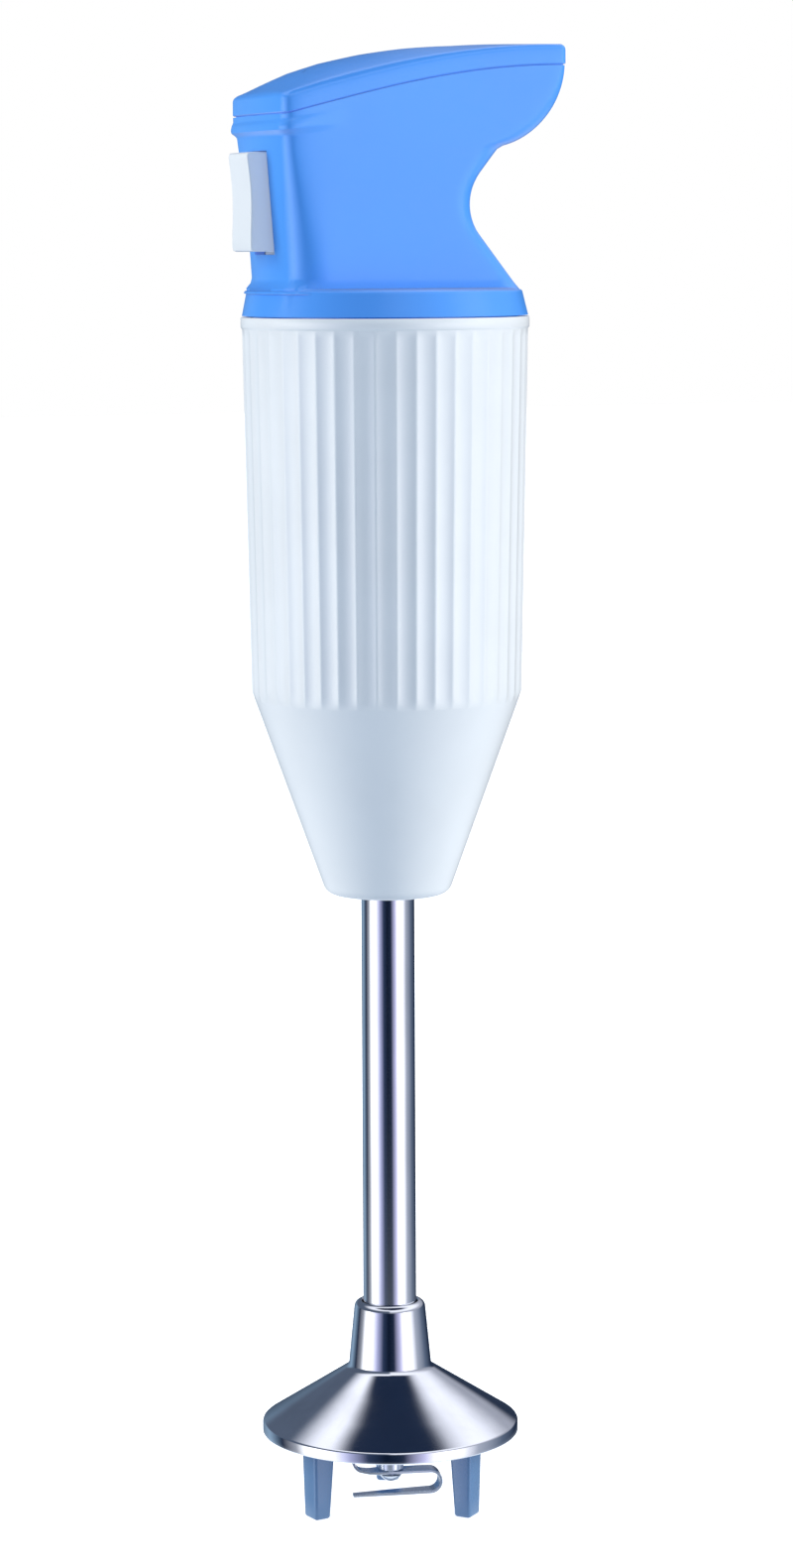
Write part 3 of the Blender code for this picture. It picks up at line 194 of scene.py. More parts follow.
def bar(name, start, end, radius, count=48):
    start, end = Vector(start), Vector(end)
    bpy.ops.object.select_all(action='DESELECT')
    bpy.ops.mesh.primitive_cylinder_add(vertices=count, radius=radius, depth=(end - start).length,
                                        location=(start + end) / 2,
                                        rotation=(end - start).to_track_quat('Z', 'Y').to_euler())
    bpy.ops.object.transform_apply(location=True, rotation=True, scale=True)
    piece = bpy.context.object
    piece.name = piece.data.name = name
    return piece


def turnAbout(piece, degrees):
    piece.data.transform(Matrix.Rotation(radians(degrees), 4, 'Z'))


def arc(centre, radius, start, end, steps):
    angles = [radians(start + (end - start) * i / steps) for i in range(steps + 1)]
    return [(centre[0] + radius * cos(a), centre[1] + radius * sin(a)) for a in angles]


def between(table, at):
    # reads a short list of (height, value) stations
    for (z0, v0), (z1, v1) in zip(table, table[1:]):
        if at <= z1:
            return v0 + (v1 - v0) * max(0.0, (at - z0) / (z1 - z0))
    return table[-1][1]


# ---- shader maths


class Signal:
    # a value between shader nodes; sums written on it add Math nodes
    def __init__(self, paint, socket):
        self.paint = paint
        self.socket = socket

    def sum(self, operation, first, second):
        return self.paint.add('ShaderNodeMath', {'operation': operation}, {0: first, 1: second})

    def __add__(self, other):
        return self.sum('ADD', self, other)

    def __radd__(self, other):
        return self.sum('ADD', other, self)

    def __sub__(self, other):
        return self.sum('SUBTRACT', self, other)

    def __rsub__(self, other):
        return self.sum('SUBTRACT', other, self)

    def __mul__(self, other):
        return self.sum('MULTIPLY', self, other)

    def __rmul__(self, other):
        return self.sum('MULTIPLY', other, self)

    def fade(self, low, high):
        # 0 below low, 1 above high, a smooth step between
        return self.paint.add('ShaderNodeMapRange', {'interpolation_type': 'SMOOTHSTEP'},
                              {'Value': self, 'From Min': low, 'From Max': high})


class Paint:
    # a node tree under construction: a material's or the world's
    def __init__(self, tree):
        self.tree = tree

    def add(self, kind, settings, sockets, out=0):
        made = self.tree.nodes.new(kind)
        for key, value in settings.items():
            if key == 'stops':
                for number, (place, colour) in enumerate(value):
                    stop = made.color_ramp.elements[number] if number < 2 \
                        else made.color_ramp.elements.new(place)
                    stop.position = place
                    stop.color = (*colour, 1.0)
            else:
                setattr(made, key, value)
        for key, value in sockets.items():
            if isinstance(value, Signal):
                self.tree.links.new(value.socket, made.inputs[key])
            else:
                made.inputs[key].default_value = value
        return Signal(self, made.outputs[out])

    def tint(self, factor, first, second):
        first, second = [(*c, 1.0) if isinstance(c, tuple) else c for c in (first, second)]
        return self.add('ShaderNodeMix', {'data_type': 'RGBA'}, {0: factor, 6: first, 7: second}, 2)


class Finish(Paint):
    # one material around its Principled shader, read in metres of the piece's own space
    def __init__(self, name, fixed):
        self.material = bpy.data.materials.new(name)
        self.material.use_nodes = True
        super().__init__(self.material.node_tree)
        self.shader = self.tree.nodes['Principled BSDF']
        for key, value in fixed.items():
            self.shader.inputs[key].default_value = value
        self.place = self.add('ShaderNodeTexCoord', {}, {}, 'Object')

    def noise(self, scale, detail=2.0, stretch=(1, 1, 1)):
        spread = self.add('ShaderNodeVectorMath', {'operation': 'MULTIPLY'}, {0: self.place, 1: stretch})
        return self.add('ShaderNodeTexNoise', {}, {'Vector': spread, 'Scale': scale, 'Detail': detail})

    def feed(self, socket, value):
        self.tree.links.new(value.socket, self.shader.inputs[socket])

    def relief(self, height, distance, strength=1.0):
        made = self.add('ShaderNodeBump', {}, {'Height': height, 'Distance': distance,
                                               'Strength': strength})
        self.feed('Normal', made)


plastics = {
    "blueColour": (0.070, 0.350, 1.000),
    "whiteColour": (0.880, 0.905, 0.925),
    "legColour": (0.100, 0.230, 0.450),
    "greyColour": (0.200, 0.215, 0.235),
    "blackColour": (0.018, 0.019, 0.022),
}


def mouldedPlastic(name, colour, roughness, grain=0.012, coat=0.0):
    # gloss plastic: faint flow shading, a fine moulded grain and uneven polish
    paint = Finish(name, {'IOR': 1.5, 'Specular IOR Level': 0.8, 'Coat Roughness': 0.22,
                          'Coat Weight': coat})
    flow = paint.noise(38.0, 3.0)
    speck = paint.noise(5200.0, 1.0)
    darker = tuple(0.975 * c for c in colour)
    lighter = tuple(min(1.0, 1.01 * c) for c in colour)
    base = paint.tint(flow.fade(0.35, 0.65), darker, lighter)
    paint.feed('Base Color', paint.tint(speck.fade(0.60, 0.75) * 0.25, base, darker))
    rubbed = paint.noise(420.0, 3.0)
    paint.feed('Roughness', roughness + (rubbed - 0.5) * 0.10 + (flow - 0.5) * 0.06)
    paint.relief(paint.noise(3600.0, 2.0) + 0.6 * paint.noise(260.0, 1.0), grain * mm)
    return paint.material


def platedSteel(name, colour, roughness, lines=0.0):
    # bright plate: fine circumferential polish lines, faint smears and tiny pits
    paint = Finish(name, {'Metallic': 1.0})
    smear = paint.noise(120.0, 4.0, (1, 1, 0.35))
    polish = paint.noise(900.0, 2.0, (0.05, 0.05, 12.0))
    dim = tuple(0.90 * c for c in colour)
    paint.feed('Base Color', paint.tint(smear.fade(0.35, 0.7), colour, dim))
    paint.feed('Roughness', roughness + (smear - 0.5) * 0.05 + (polish - 0.5) * 0.04)
    paint.relief(polish + 0.4 * paint.noise(2400.0, 1.0), (0.0004 + lines) * mm)
    return paint.material


def machinedMetal(name, colour, roughness, pitch=0.0):
    # turned or drawn metal: tool lines across its length, painted darker along the lines as painted shade in
    # grooves
    paint = Finish(name, {'Metallic': 1.0})
    stain = paint.noise(160.0, 4.0)
    marks = paint.noise(1400.0, 3.0, (0.3, 0.3, 4.0))
    dark = tuple(0.68 * c for c in colour)
    base = paint.tint(stain.fade(0.3, 0.75), colour, dark)
    # painted shade: the tool lines darken the colour as shade in their grooves would; the stain above is
    # real discolouring
    paint.feed('Base Color', paint.tint(marks.fade(0.55, 0.8) * 0.5, base, dark))
    paint.feed('Roughness', roughness + (stain - 0.5) * 0.2)
    paint.relief(marks, (0.004 + pitch) * mm)
    return paint.material


def stackedSteel():
    # thin varnished sheets, one on the next
    paint = Finish("stackedSteel", {'Metallic': 1.0})
    sheets = paint.add('ShaderNodeTexWave', {'wave_type': 'BANDS', 'bands_direction': 'Z'},
                       {'Vector': paint.place, 'Scale': 310.0, 'Distortion': 0.4})
    rust = paint.noise(420.0, 4.0)
    base = paint.tint(sheets.fade(0.15, 0.6), (0.10, 0.10, 0.11), (0.36, 0.37, 0.39))
    paint.feed('Base Color', paint.tint(rust.fade(0.62, 0.8) * 0.6, base, (0.22, 0.12, 0.07)))
    paint.feed('Roughness', 0.62 - sheets * 0.22)
    paint.relief(sheets, 0.06 * mm)
    return paint.material


def enamelledWire():
    # wound copper under clear varnish: round wires side by side, with painted shade in the crevices between
    # them
    paint = Finish("enamelledWire", {'Metallic': 0.85, 'Coat Roughness': 0.2, 'Coat Weight': 0.5})
    wires = paint.add('ShaderNodeTexWave', {'wave_type': 'BANDS', 'bands_direction': 'Z'},
                      {'Vector': paint.place, 'Scale': 520.0, 'Distortion': 1.6, 'Detail Scale': 60.0})
    varnish = paint.noise(220.0, 3.0)
    copper = paint.tint(varnish.fade(0.35, 0.7), (0.62, 0.24, 0.10), (0.46, 0.15, 0.06))
    # painted shade: the dark brown in the valleys of the bands stands for shade in the crevices between
    # round wires
    paint.feed('Base Color', paint.tint(wires.fade(0.0, 0.5), (0.12, 0.04, 0.02), copper))
    paint.feed('Roughness', 0.42 - wires * 0.15)
    paint.relief(wires, 0.12 * mm)
    return paint.material


def pressedCarbon():
    paint = Finish("pressedCarbon", {})
    grit = paint.noise(2600.0, 4.0)
    paint.feed('Base Color', paint.tint(grit.fade(0.4, 0.7), (0.020, 0.020, 0.022), (0.075, 0.075, 0.08)))
    paint.feed('Roughness', 0.72 - grit * 0.25)
    paint.relief(grit, 0.03 * mm)
    return paint.material


def mouldedRubber():
    paint = Finish("mouldedRubber", {'IOR': 1.45})
    bloom = paint.noise(300.0, 4.0)
    paint.feed('Base Color', paint.tint(bloom.fade(0.35, 0.75), (0.016, 0.016, 0.017),
                                        (0.050, 0.050, 0.052)))
    paint.feed('Roughness', 0.66 + (bloom - 0.5) * 0.25)
    paint.relief(paint.noise(1900.0, 3.0), 0.02 * mm)
    return paint.material


def leadSleeve(name, colour):
    # soft sleeve round a lead: satin, a little dusty
    paint = Finish(name, {'IOR': 1.5})
    dust = paint.noise(500.0, 4.0)
    pale = tuple(0.75 * c + 0.05 for c in colour)
    paint.feed('Base Color', paint.tint(dust.fade(0.5, 0.8), colour, pale))
    paint.feed('Roughness', 0.42 + dust * 0.18)
    paint.relief(paint.noise(1500.0, 2.0), 0.01 * mm)
    return paint.material


finishes = {
    "blue_shell": mouldedPlastic("blueShell", plastics["blueColour"], 0.34, 0.002, 0.4),
    "white_shell": mouldedPlastic("whiteShell", plastics["whiteColour"], 0.36, 0.006, 0.4),
    "leg_plastic": mouldedPlastic("legPlastic", plastics["legColour"], 0.26, 0.012, 0.5),
    "grey_plastic": mouldedPlastic("greyPlastic", plastics["greyColour"], 0.52, 0.04),
    "black_plastic": mouldedPlastic("blackPlastic", plastics["blackColour"], 0.46, 0.03),
    "chrome": platedSteel("chromePlate", (0.80, 0.82, 0.87), 0.10),
    "polished_steel": platedSteel("polishedSteel", (0.80, 0.85, 0.92), 0.26, 0.001),
    "bare_steel": machinedMetal("bareSteel", (0.52, 0.53, 0.55), 0.34),
    "brass": machinedMetal("brassSheet", (0.76, 0.55, 0.24), 0.36),
    "bronze": machinedMetal("sinteredBronze", (0.50, 0.34, 0.18), 0.50, 0.012),
    "lamination_steel": stackedSteel(),
    "copper": enamelledWire(),
    "carbon": pressedCarbon(),
    "rubber": mouldedRubber(),
    "brown_insulation": leadSleeve("brownSleeve", (0.190, 0.070, 0.028)),
    "blue_insulation": leadSleeve("blueSleeve", (0.030, 0.110, 0.420)),
}
print("finishes ready:", len(finishes))

nodeSlots = {}
for entry in frame["record"]["subparts"]:
    nodeSlots[entry["node"]] = entry["material_slot"]
for name, node in cadNodes.items():
    node.data.materials.clear()
    node.data.materials.append(finishes[nodeSlots[name]])
    node.visible_glossy = False  # the bright bell shows the studio, not the works above it


def settle(piece, node, body="root"):
    # a finished piece takes its node's place, body and finish
    piece.data.materials.clear()
    piece.data.materials.append(finishes[nodeSlots[node]])
    piece.visible_glossy = node in ("bell_guard", "guard_legs", "blade", "blade_hub")
    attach(piece, body)
    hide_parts(node)
    print(piece.name, "faces", len(piece.data.polygons))


# ---- head shell and top cover

head = {
    "wall": 2.2 * mm,
    "bandFoot": (32.2 * mm, 269.7 * mm),
    "bandTop": (30.9 * mm, 275.0 * mm),
    "front": [(275.7, -30.2), (276.3, -29.9), (277.4, -28.7), (280.0, -28.9), (284.0, -29.2),
              (306.0, -30.8), (309.6, -31.0), (310.15, -31.4), (310.6, -31.95), (311.4, -32.0),
              (312.4, -31.75), (313.0, -31.45), (314.2, -31.4)],
    "half": [(275.7, 17.1), (277.2, 16.7), (306.0, 16.6), (314.2, 17.4)],
    "edgeY": [(275.7, 13.6), (284.0, 13.9), (306.0, 14.9), (314.2, 15.6)],
    "sideX": [(275.7, -19.0), (306.0, -20.5), (314.2, -22.0)],
    "bow": [(275.7, 1.6), (284.0, 1.8), (306.0, 1.3), (314.2, 0.8)],
    "creaseSlope": 0.75,
    "edgeRadius": 2.4 * mm,
    "ledge": 0.5 * mm,
    "rearCorner": [(275.7, 4.8), (300.0, 4.8), (308.0, 6.5), (316.0, 4.0), (325.5, 1.4)],
    "seamFront": 314.2 * mm,
    "seamRear": 325.5 * mm,
    "seamStartX": -31.4 * mm,
    "seamEndX": 37.1 * mm,
    "slantFoot": (26.9 * mm, 275.9 * mm),
    "waistCentre": (26.4 * mm, 294.4 * mm),
    "waistRadius": 11.0 * mm,
    "waistAngles": (218.2, 139.0),
    "beakCentre": (20.0 * mm, 324.3 * mm),
    "beakRadius": 17.2 * mm,
    "spigot": (29.8 * mm, 263.5 * mm),
    "inletAngle": -32.0,
    "inletHole": 4.5 * mm,
    "inletCut": (5.2 * mm, 3 * mm),
    "openingHalf": 6.3 * mm,
    "openingX": (-40 * mm, -23 * mm),
    "openingZ": (283.4 * mm, 306.4 * mm),
    "clampX": (19.5 * mm, 25.5 * mm),
    "clampHalf": 8.5 * mm,
    "clampZ": (308.7 * mm, 314 * mm),
    "clampHoles": (22.5 * mm, 6.4 * mm, 1.2 * mm),
    "clampHoleZ": (309.6 * mm, 314.4 * mm),
    "frontSteps": 8,
    "sideSteps": 30,
    "rearSteps": 6,
}


def seamHeight(x):
    # level at the front, rising along a sine to the beak
    share = (x - head["seamStartX"]) / (head["seamEndX"] - head["seamStartX"])
    share = min(1.0, max(0.0, (share - 0.03) / 0.97))
    return head["seamFront"] + (head["seamRear"] - head["seamFront"]) * sin(share * pi / 2)


def bend(start, middle, end, steps):
    # points along a curve that leaves start and reaches end, both aimed at the middle
    curve = []
    for i in range(steps + 1):
        t = i / steps
        curve.append(tuple(a * (1 - t) ** 2 + 2 * b * t * (1 - t) + c * t * t
                           for a, b, c in zip(start, middle, end)))
    return curve


def planRing(front, rear, half, edgeY, sideX, rearCorner, bow):
    # faintly bowed front, a crisp corner, a long curve into the side, then the rear corner
    crease = front + bow
    control = (crease + (half - edgeY) / head["creaseSlope"], half)
    run = hypot(control[0] - crease, half - edgeY)
    small = min(head["edgeRadius"], 0.6 * run)
    corner = (crease + small * (control[0] - crease) / run, edgeY + small * (half - edgeY) / run)
    start = 1 - small / edgeY
    side = [(front + bow * share ** 2, edgeY * share) for share in (0.0, 0.25, 0.5, 0.75)]
    side += bend((front + bow * start ** 2, edgeY * start), (crease, edgeY), corner, head["frontSteps"])
    side += bend(corner, control, (sideX, half), head["frontSteps"])[1:]
    length = rear - rearCorner - sideX
    side += [(sideX + length * i / head["sideSteps"], half) for i in range(1, head["sideSteps"])]
    side += arc((rear - rearCorner, half - rearCorner), rearCorner, 90, 0, head["rearSteps"])
    side.append((rear, 0.0))
    return side + [(x, -y) for x, y in reversed(side[1:-1])]


def rearOutline(inset):
    # slant, waist, straight stretch and the beak's arc, seen from the side
    centre, radius = head["beakCentre"], head["beakRadius"] - inset
    waist = arc(head["waistCentre"], head["waistRadius"] + inset, *head["waistAngles"], 26)
    footX, footZ = head["slantFoot"]
    slope = (waist[0][0] - footX) / (waist[0][1] - footZ)
    points = [(footX - inset * 0.4 + slope * (waist[0][1] - footZ) * share, footZ
               + (waist[0][1] - footZ) * share) for share in (0.0, 0.1, 0.2, 0.4, 0.6, 0.8)]
    points += waist
    tilt = radians(head["waistAngles"][1])
    stepX, stepZ = sin(tilt), -cos(tilt)
    startX, startZ = waist[-1][0] - centre[0], waist[-1][1] - centre[1]
    b = startX * stepX + startZ * stepZ
    c = startX ** 2 + startZ ** 2 - radius ** 2
    reach = -b - sqrt(b * b - c)
    points += [(waist[-1][0] + stepX * reach * share, waist[-1][1] + stepZ * reach * share)
               for share in (0.33, 0.66, 0.9)]
    corner = (waist[-1][0] + stepX * reach, waist[-1][1] + stepZ * reach)
    cornerAngle = atan2(corner[1] - centre[1], corner[0] - centre[0])
    top = (head["seamRear"] - centre[1]) / radius
    topAngle = atan2(top, sqrt(1 - top * top))
    count = 26
    beak = [cornerAngle + (topAngle - cornerAngle) * i / count for i in range(1, count + 1)]
    points += [(centre[0] + radius * cos(a), centre[1] + radius * sin(a)) for a in beak]
    return points, corner[1]


def headRings(inset):
    # rings of the pillar and beak; above the beak's corner they tilt up to the seam
    outline, cornerZ = rearOutline(inset)
    rings = []
    for rear, rearZ in outline:
        tilt = max(0.0, (rearZ - cornerZ) / (head["seamRear"] - cornerZ))
        frontZ = min(rearZ, cornerZ) + tilt * (head["seamFront"] - cornerZ)
        frontNow = between(head["front"], frontZ / mm) * mm
        lip = min(0.0, frontNow + 31.0 * mm) if tilt > 0.0 and not inset else 0.0
        ring = planRing(frontNow - lip + inset, rear, between(head["half"], frontZ / mm) * mm - inset,
                        between(head["edgeY"], frontZ / mm) * mm - inset,
                        between(head["sideX"], frontZ / mm) * mm,
                        max(0.3 * mm, between(head["rearCorner"], rearZ / mm) * mm - inset),
                        between(head["bow"], frontZ / mm) * mm)
        places = []
        for x, y in ring:
            fade = max(0.0, min(1.0, (-16.0 * mm - x) / (12.0 * mm)))
            z = min(rearZ, cornerZ) + tilt * (seamHeight(x) - cornerZ)
            places.append((x + lip * fade, y * (1 - lip * fade / (17.0 * mm)), z))
        rings.append(places)
    return rings


def roundRing(like, radius, z):
    return [(radius * x / hypot(x, y), radius * y / hypot(x, y), z) for x, y, _ in like]


def bandRing(like, radius, z, share, out):
    # a circle that swells to meet the panel's corners, with the ledge under the panel
    places = []
    for x, y, _ in like:
        reach = hypot(x, y)
        swell = max(0.0, reach - head["bandTop"][0]) * share
        nearFront = max(0.0, min(1.0, (-22.5 * mm - x) / (2.5 * mm)))
        wide = radius + swell + head["ledge"] * out * nearFront
        places.append((wide * x / reach, wide * y / reach, z))
    return places


def inletPoint(distance):
    tilt = radians(head["inletAngle"])
    return (head["beakCentre"][0] + distance * cos(tilt), 0, head["beakCentre"][1] + distance * sin(tilt))


def makeHeadShell():
    outer, inner = headRings(0.0), headRings(head["wall"])
    foot = outer[0]
    topR, topZ = head["bandTop"]
    footR, footZ = head["bandFoot"]
    shoulderZ = topZ - head["wall"]
    spigotR, spigotZ = head["spigot"]
    inner[0] = [(x, y, shoulderZ) for x, y, z in inner[0]]
    band = [(s, 0.0) for s in (0.0, 0.03, 0.2, 0.4, 0.6, 0.8, 0.93)] + [(0.95, 1.0), (1.0, 1.0)]
    rings = [bandRing(foot, footR + (topR - footR) * s, footZ + (topZ - footZ) * s, s, out)
             for s, out in band]
    rings += [bandRing(foot, topR - 0.15 * mm, topZ + 0.25 * mm, 1.0, 1.0),
              bandRing(foot, topR - 0.5 * mm, topZ + 0.42 * mm, 1.0, 0.8)]
    rings += outer
    rings += list(reversed(inner))
    rings += [roundRing(foot, spigotR - head["wall"], shoulderZ),
              roundRing(foot, spigotR - head["wall"], spigotZ),
              roundRing(foot, spigotR, spigotZ), roundRing(foot, spigotR, footZ)]
    piece = loftPiece("headShell", rings, shut=True, capped=False, angle=28.0)
    side = head["openingHalf"]
    (frontX, backX), (lowZ, highZ) = head["openingX"], head["openingZ"]
    combine(piece, block("opening", (frontX, -side, lowZ), (backX, side, highZ)), 'DIFFERENCE')
    reach = head["beakRadius"]
    inward, outward = head["inletCut"]
    combine(piece, bar("inletHole", inletPoint(reach - inward), inletPoint(reach + outward),
                       head["inletHole"]), 'DIFFERENCE')
    side = head["clampHalf"]
    (frontX, backX), (lowZ, highZ) = head["clampX"], head["clampZ"]
    combine(piece, block("clampBlock", (frontX, -side, lowZ), (backX, side, highZ)), 'UNION')
    holeX, away, radius = head["clampHoles"]
    lowZ, highZ = head["clampHoleZ"]
    for y in (-away, away):
        combine(piece, bar("clampHole", (holeX, y, lowZ), (holeX, y, highZ), radius, 20), 'DIFFERENCE')
    smooth(piece, 28.0)
    settle(piece, "head_shell")


cover = {
    "front": -31.5 * mm,
    "rear": 37.4 * mm,
    "half": 17.5 * mm,
    "edgeY": 16.1 * mm,
    "sideX": -22.0 * mm,
    "bow": 1.0 * mm,
    "rearCorner": 1.6 * mm,
    "height": 4.4 * mm,
    "edge": 1.2 * mm,
    "crown": [(-31.5, 0.0), (-27.0, 1.9), (-22.0, 3.0), (-15.0, 3.4), (-5.0, 3.2), (3.0, 2.7),
              (15.0, 1.5), (30.0, 0.6), (37.4, 0.4)],
    "roof": 2.2 * mm,
    "spigot": 3 * mm,
    "seamDrop": 0.24 * mm,
}


def coverRing(inset, height, crown=0.0):
    plan = planRing(cover["front"] + inset, cover["rear"] - inset, cover["half"] - inset,
                    cover["edgeY"] - inset, cover["sideX"] + 0.5 * inset,
                    max(0.5 * mm, cover["rearCorner"] - inset), cover["bow"])
    return [(x, y, seamHeight(x) + gap + height
             + crown * between(cover["crown"], x / mm) * mm * (1 - (y / cover["half"]) ** 2))
            for x, y in plan]


def makeTopCover():
    top, edge = cover["height"], cover["edge"]
    depth = head["wall"] + 0.9 * mm
    under = depth + cover["roof"]
    drop = cover["seamDrop"]
    rings = [coverRing(under + 6 * mm, cover["roof"]), coverRing(under, cover["roof"]),
             coverRing(under, -cover["spigot"]), coverRing(depth, -cover["spigot"]),
             coverRing(depth, -drop), coverRing(0.75 * mm, -drop), coverRing(0.6 * mm, -drop),
             coverRing(0.5 * mm, 0.0),
             coverRing(0.2 * mm, 0.0), coverRing(0.0, 0.2 * mm), coverRing(0.0, (top - edge) / 2)]
    for i in range(7):
        turn = pi / 2 * i / 6
        rings.append(coverRing(edge * (1 - cos(turn)), top - edge + edge * sin(turn), i / 6))
    rings += [coverRing(inset * mm, top, 1.0) for inset in (2.4, 4.5, 7.0, 9.5, 12.0, 14.5)]
    piece = loftPiece("topCover", rings, capped=False, angle=28.0)
    openEdit(piece)
    bpy.ops.mesh.select_mode(type='VERT')
    mesh = bmesh.from_edit_mesh(piece.data)
    mesh.verts.ensure_lookup_table()
    loose = {edge.verts[0].index for edge in mesh.edges if edge.is_boundary}
    loose |= {edge.verts[1].index for edge in mesh.edges if edge.is_boundary}
    for high in (True, False):  # crossbars close the roof and its underside
        rim = [mesh.verts[i] for i in loose]
        split = sum(v.co.z - seamHeight(v.co.x) for v in rim) / len(rim)
        chosen = [v for v in rim if (v.co.z - seamHeight(v.co.x) > split) == high]
        left = sorted((v for v in chosen if v.co.y > 1e-6), key=lambda v: (round(v.co.x, 7), v.co.y))
        right = sorted((v for v in chosen if v.co.y < -1e-6), key=lambda v: (round(v.co.x, 7), -v.co.y))
        tips = sorted((v for v in chosen if abs(v.co.y) <= 1e-6), key=lambda v: v.co.x)
        mesh.faces.new((tips[0], left[0], right[0]))
        for a, b, c, d in zip(left, left[1:], right[1:], right):
            mesh.faces.new((a, b, c, d))
        mesh.faces.new((left[-1], tips[-1], right[-1]))
    bmesh.update_edit_mesh(piece.data)
    closeEdit(piece, 28.0)
    settle(piece, "top_cover")


inletBush = {
    "bore": 3.1 * mm,
    "flange": (5.2 * mm, 1.2 * mm),
    "neck": 4.15 * mm,
    "nose": 3.8 * mm,
}


def makeInletBush():
    start = head["beakRadius"] - head["wall"] - 2.8 * mm
    nose = head["beakRadius"] - 0.3 * mm
    flange, thick = inletBush["flange"]
    profile = [(inletBush["bore"], start), (flange, start), (flange, start + thick),
               (inletBush["neck"], start + thick + 0.2 * mm), (inletBush["neck"], nose - 0.35 * mm),
               (4.05 * mm, nose - 0.12 * mm), (inletBush["nose"], nose), (3.35 * mm, nose),
               (3.15 * mm, nose - 0.1 * mm), (inletBush["bore"], nose - 0.3 * mm)]
    piece = turnPiece("cordInletBush", profile, 48, 35.0)
    centre = Vector((head["beakCentre"][0], 0, head["beakCentre"][1]))
    turn = Matrix.Rotation(radians(90 - head["inletAngle"]), 4, 'Y')
    piece.data.transform(Matrix.Translation(centre) @ turn)
    settle(piece, "cord_inlet_bush")


# ---- motor housing

housing = {
    "flutes": 44,
    "pointsPerFlute": 12,
    "firstCrest": -107.8,
    "depth": 0.45 * mm,
    "ring": (32.5 * mm, 269.4 * mm, 267.0 * mm),
    "crestTop": (32.2 * mm, 266.7 * mm),
    "crestFoot": (30.4 * mm, 185.2 * mm),
    "coneTop": (29.9 * mm, 183.8 * mm),
    "footRadius": 13.8 * mm,
    "footZ": 139.3 * mm,
    "footEdge": 3.0 * mm,
    "hole": 6.3 * mm,
    "floor": 2.7 * mm,
    "wall": 2.2 * mm,
    "screws": (9.3 * mm, 1.2 * mm),
}
fluteShape = (0.04, 0.30, 0.56, 0.75, 0.89, 0.97, 1.0)  # share of the depth, crest to valley


def makeHousing():
    count = housing["flutes"] * housing["pointsPerFlute"]
    ringR, ringTop, ringLow = housing["ring"]
    crestR, crestZ = housing["crestTop"]
    lowR, lowZ = housing["crestFoot"]
    coneR, coneZ = housing["coneTop"]
    footR, footZ, edge = housing["footRadius"], housing["footZ"], housing["footEdge"]
    floorZ = footZ + housing["floor"]
    profile = [(ringR - 0.15 * mm, ringTop), (ringR, ringTop - 0.2 * mm), (ringR, ringLow + 0.12 * mm),
               (ringR - 0.08 * mm, ringLow), (crestR + 0.02 * mm, crestZ + 0.1 * mm), (crestR, crestZ)]
    fluted = [(crestR - (crestR - lowR) * s, crestZ - (crestZ - lowZ) * s) for s in (0.02, 0.5, 0.985, 1.0)]
    profile += fluted
    profile += [(coneR, coneZ), (coneR - 0.12 * mm, coneZ - 0.35 * mm)]
    profile += arc((footR - edge + 0.9 * mm, footZ + edge), edge, -20.4, -90.0, 8)
    profile += [(housing["hole"] + 0.3 * mm, footZ), (housing["hole"], footZ + 0.3 * mm),
                (housing["hole"], floorZ), (footR - 2.6 * mm, floorZ),
                (lowR - housing["wall"] - 0.7 * mm, lowZ - 2 * mm),
                (ringR - housing["wall"], ringTop)]
    piece = turnPiece("motorHousing", profile, count, 45.0)
    turnAbout(piece, housing["firstCrest"] - 90.0)
    pitch = 2 * pi / housing["flutes"]
    openEdit(piece)
    steps = housing["pointsPerFlute"]
    for number, share in enumerate(fluteShape):
        for radius, height in fluted:
            def inFlute(vert):
                angle = (atan2(vert.co.y, vert.co.x) - radians(housing["firstCrest"])) / pitch
                place = round((angle % 1.0) * steps) % steps
                return (min(place, steps - place) == number and abs(vert.co.z - height) < 0.01 * mm
                        and hypot(vert.co.x, vert.co.y) > radius - 0.05 * mm)
            pick(piece, 'VERT', inFlute)
            scale = 1 - housing["depth"] * share / radius
            bpy.ops.transform.resize(value=(scale, scale, 1), center_override=(0, 0, height))
    closeEdit(piece, 45.0)
    away, radius = housing["screws"]
    for y in (-away, away):
        combine(piece, bar("screwHole", (0, y, floorZ - 1.9 * mm), (0, y, floorZ + 0.4 * mm), radius, 20),
                'DIFFERENCE')
    smooth(piece, 45.0)
    settle(piece, "motor_housing")


# ---- tube, bell and legs

bell = {
    "bore": 6.3 * mm,
    "rim": (28.9 * mm, 17.1 * mm, 19.6 * mm),
    "wall": 1.0 * mm,
    "coneTop": (10.0 * mm, 31.5 * mm),
    "collarFoot": (9.3 * mm, 32.4 * mm),
    "collarTop": (8.05 * mm, 46.6 * mm),
    "boss": (8.6 * mm, 24.5 * mm),
}


def underBell(radius):
    # height of the cone's inner face at a radius
    slope = (bell["coneTop"][1] - bell["rim"][2]) / (bell["rim"][0] - bell["coneTop"][0])
    return bell["coneTop"][1] - 1.2 * mm - slope * (radius - bell["coneTop"][0])


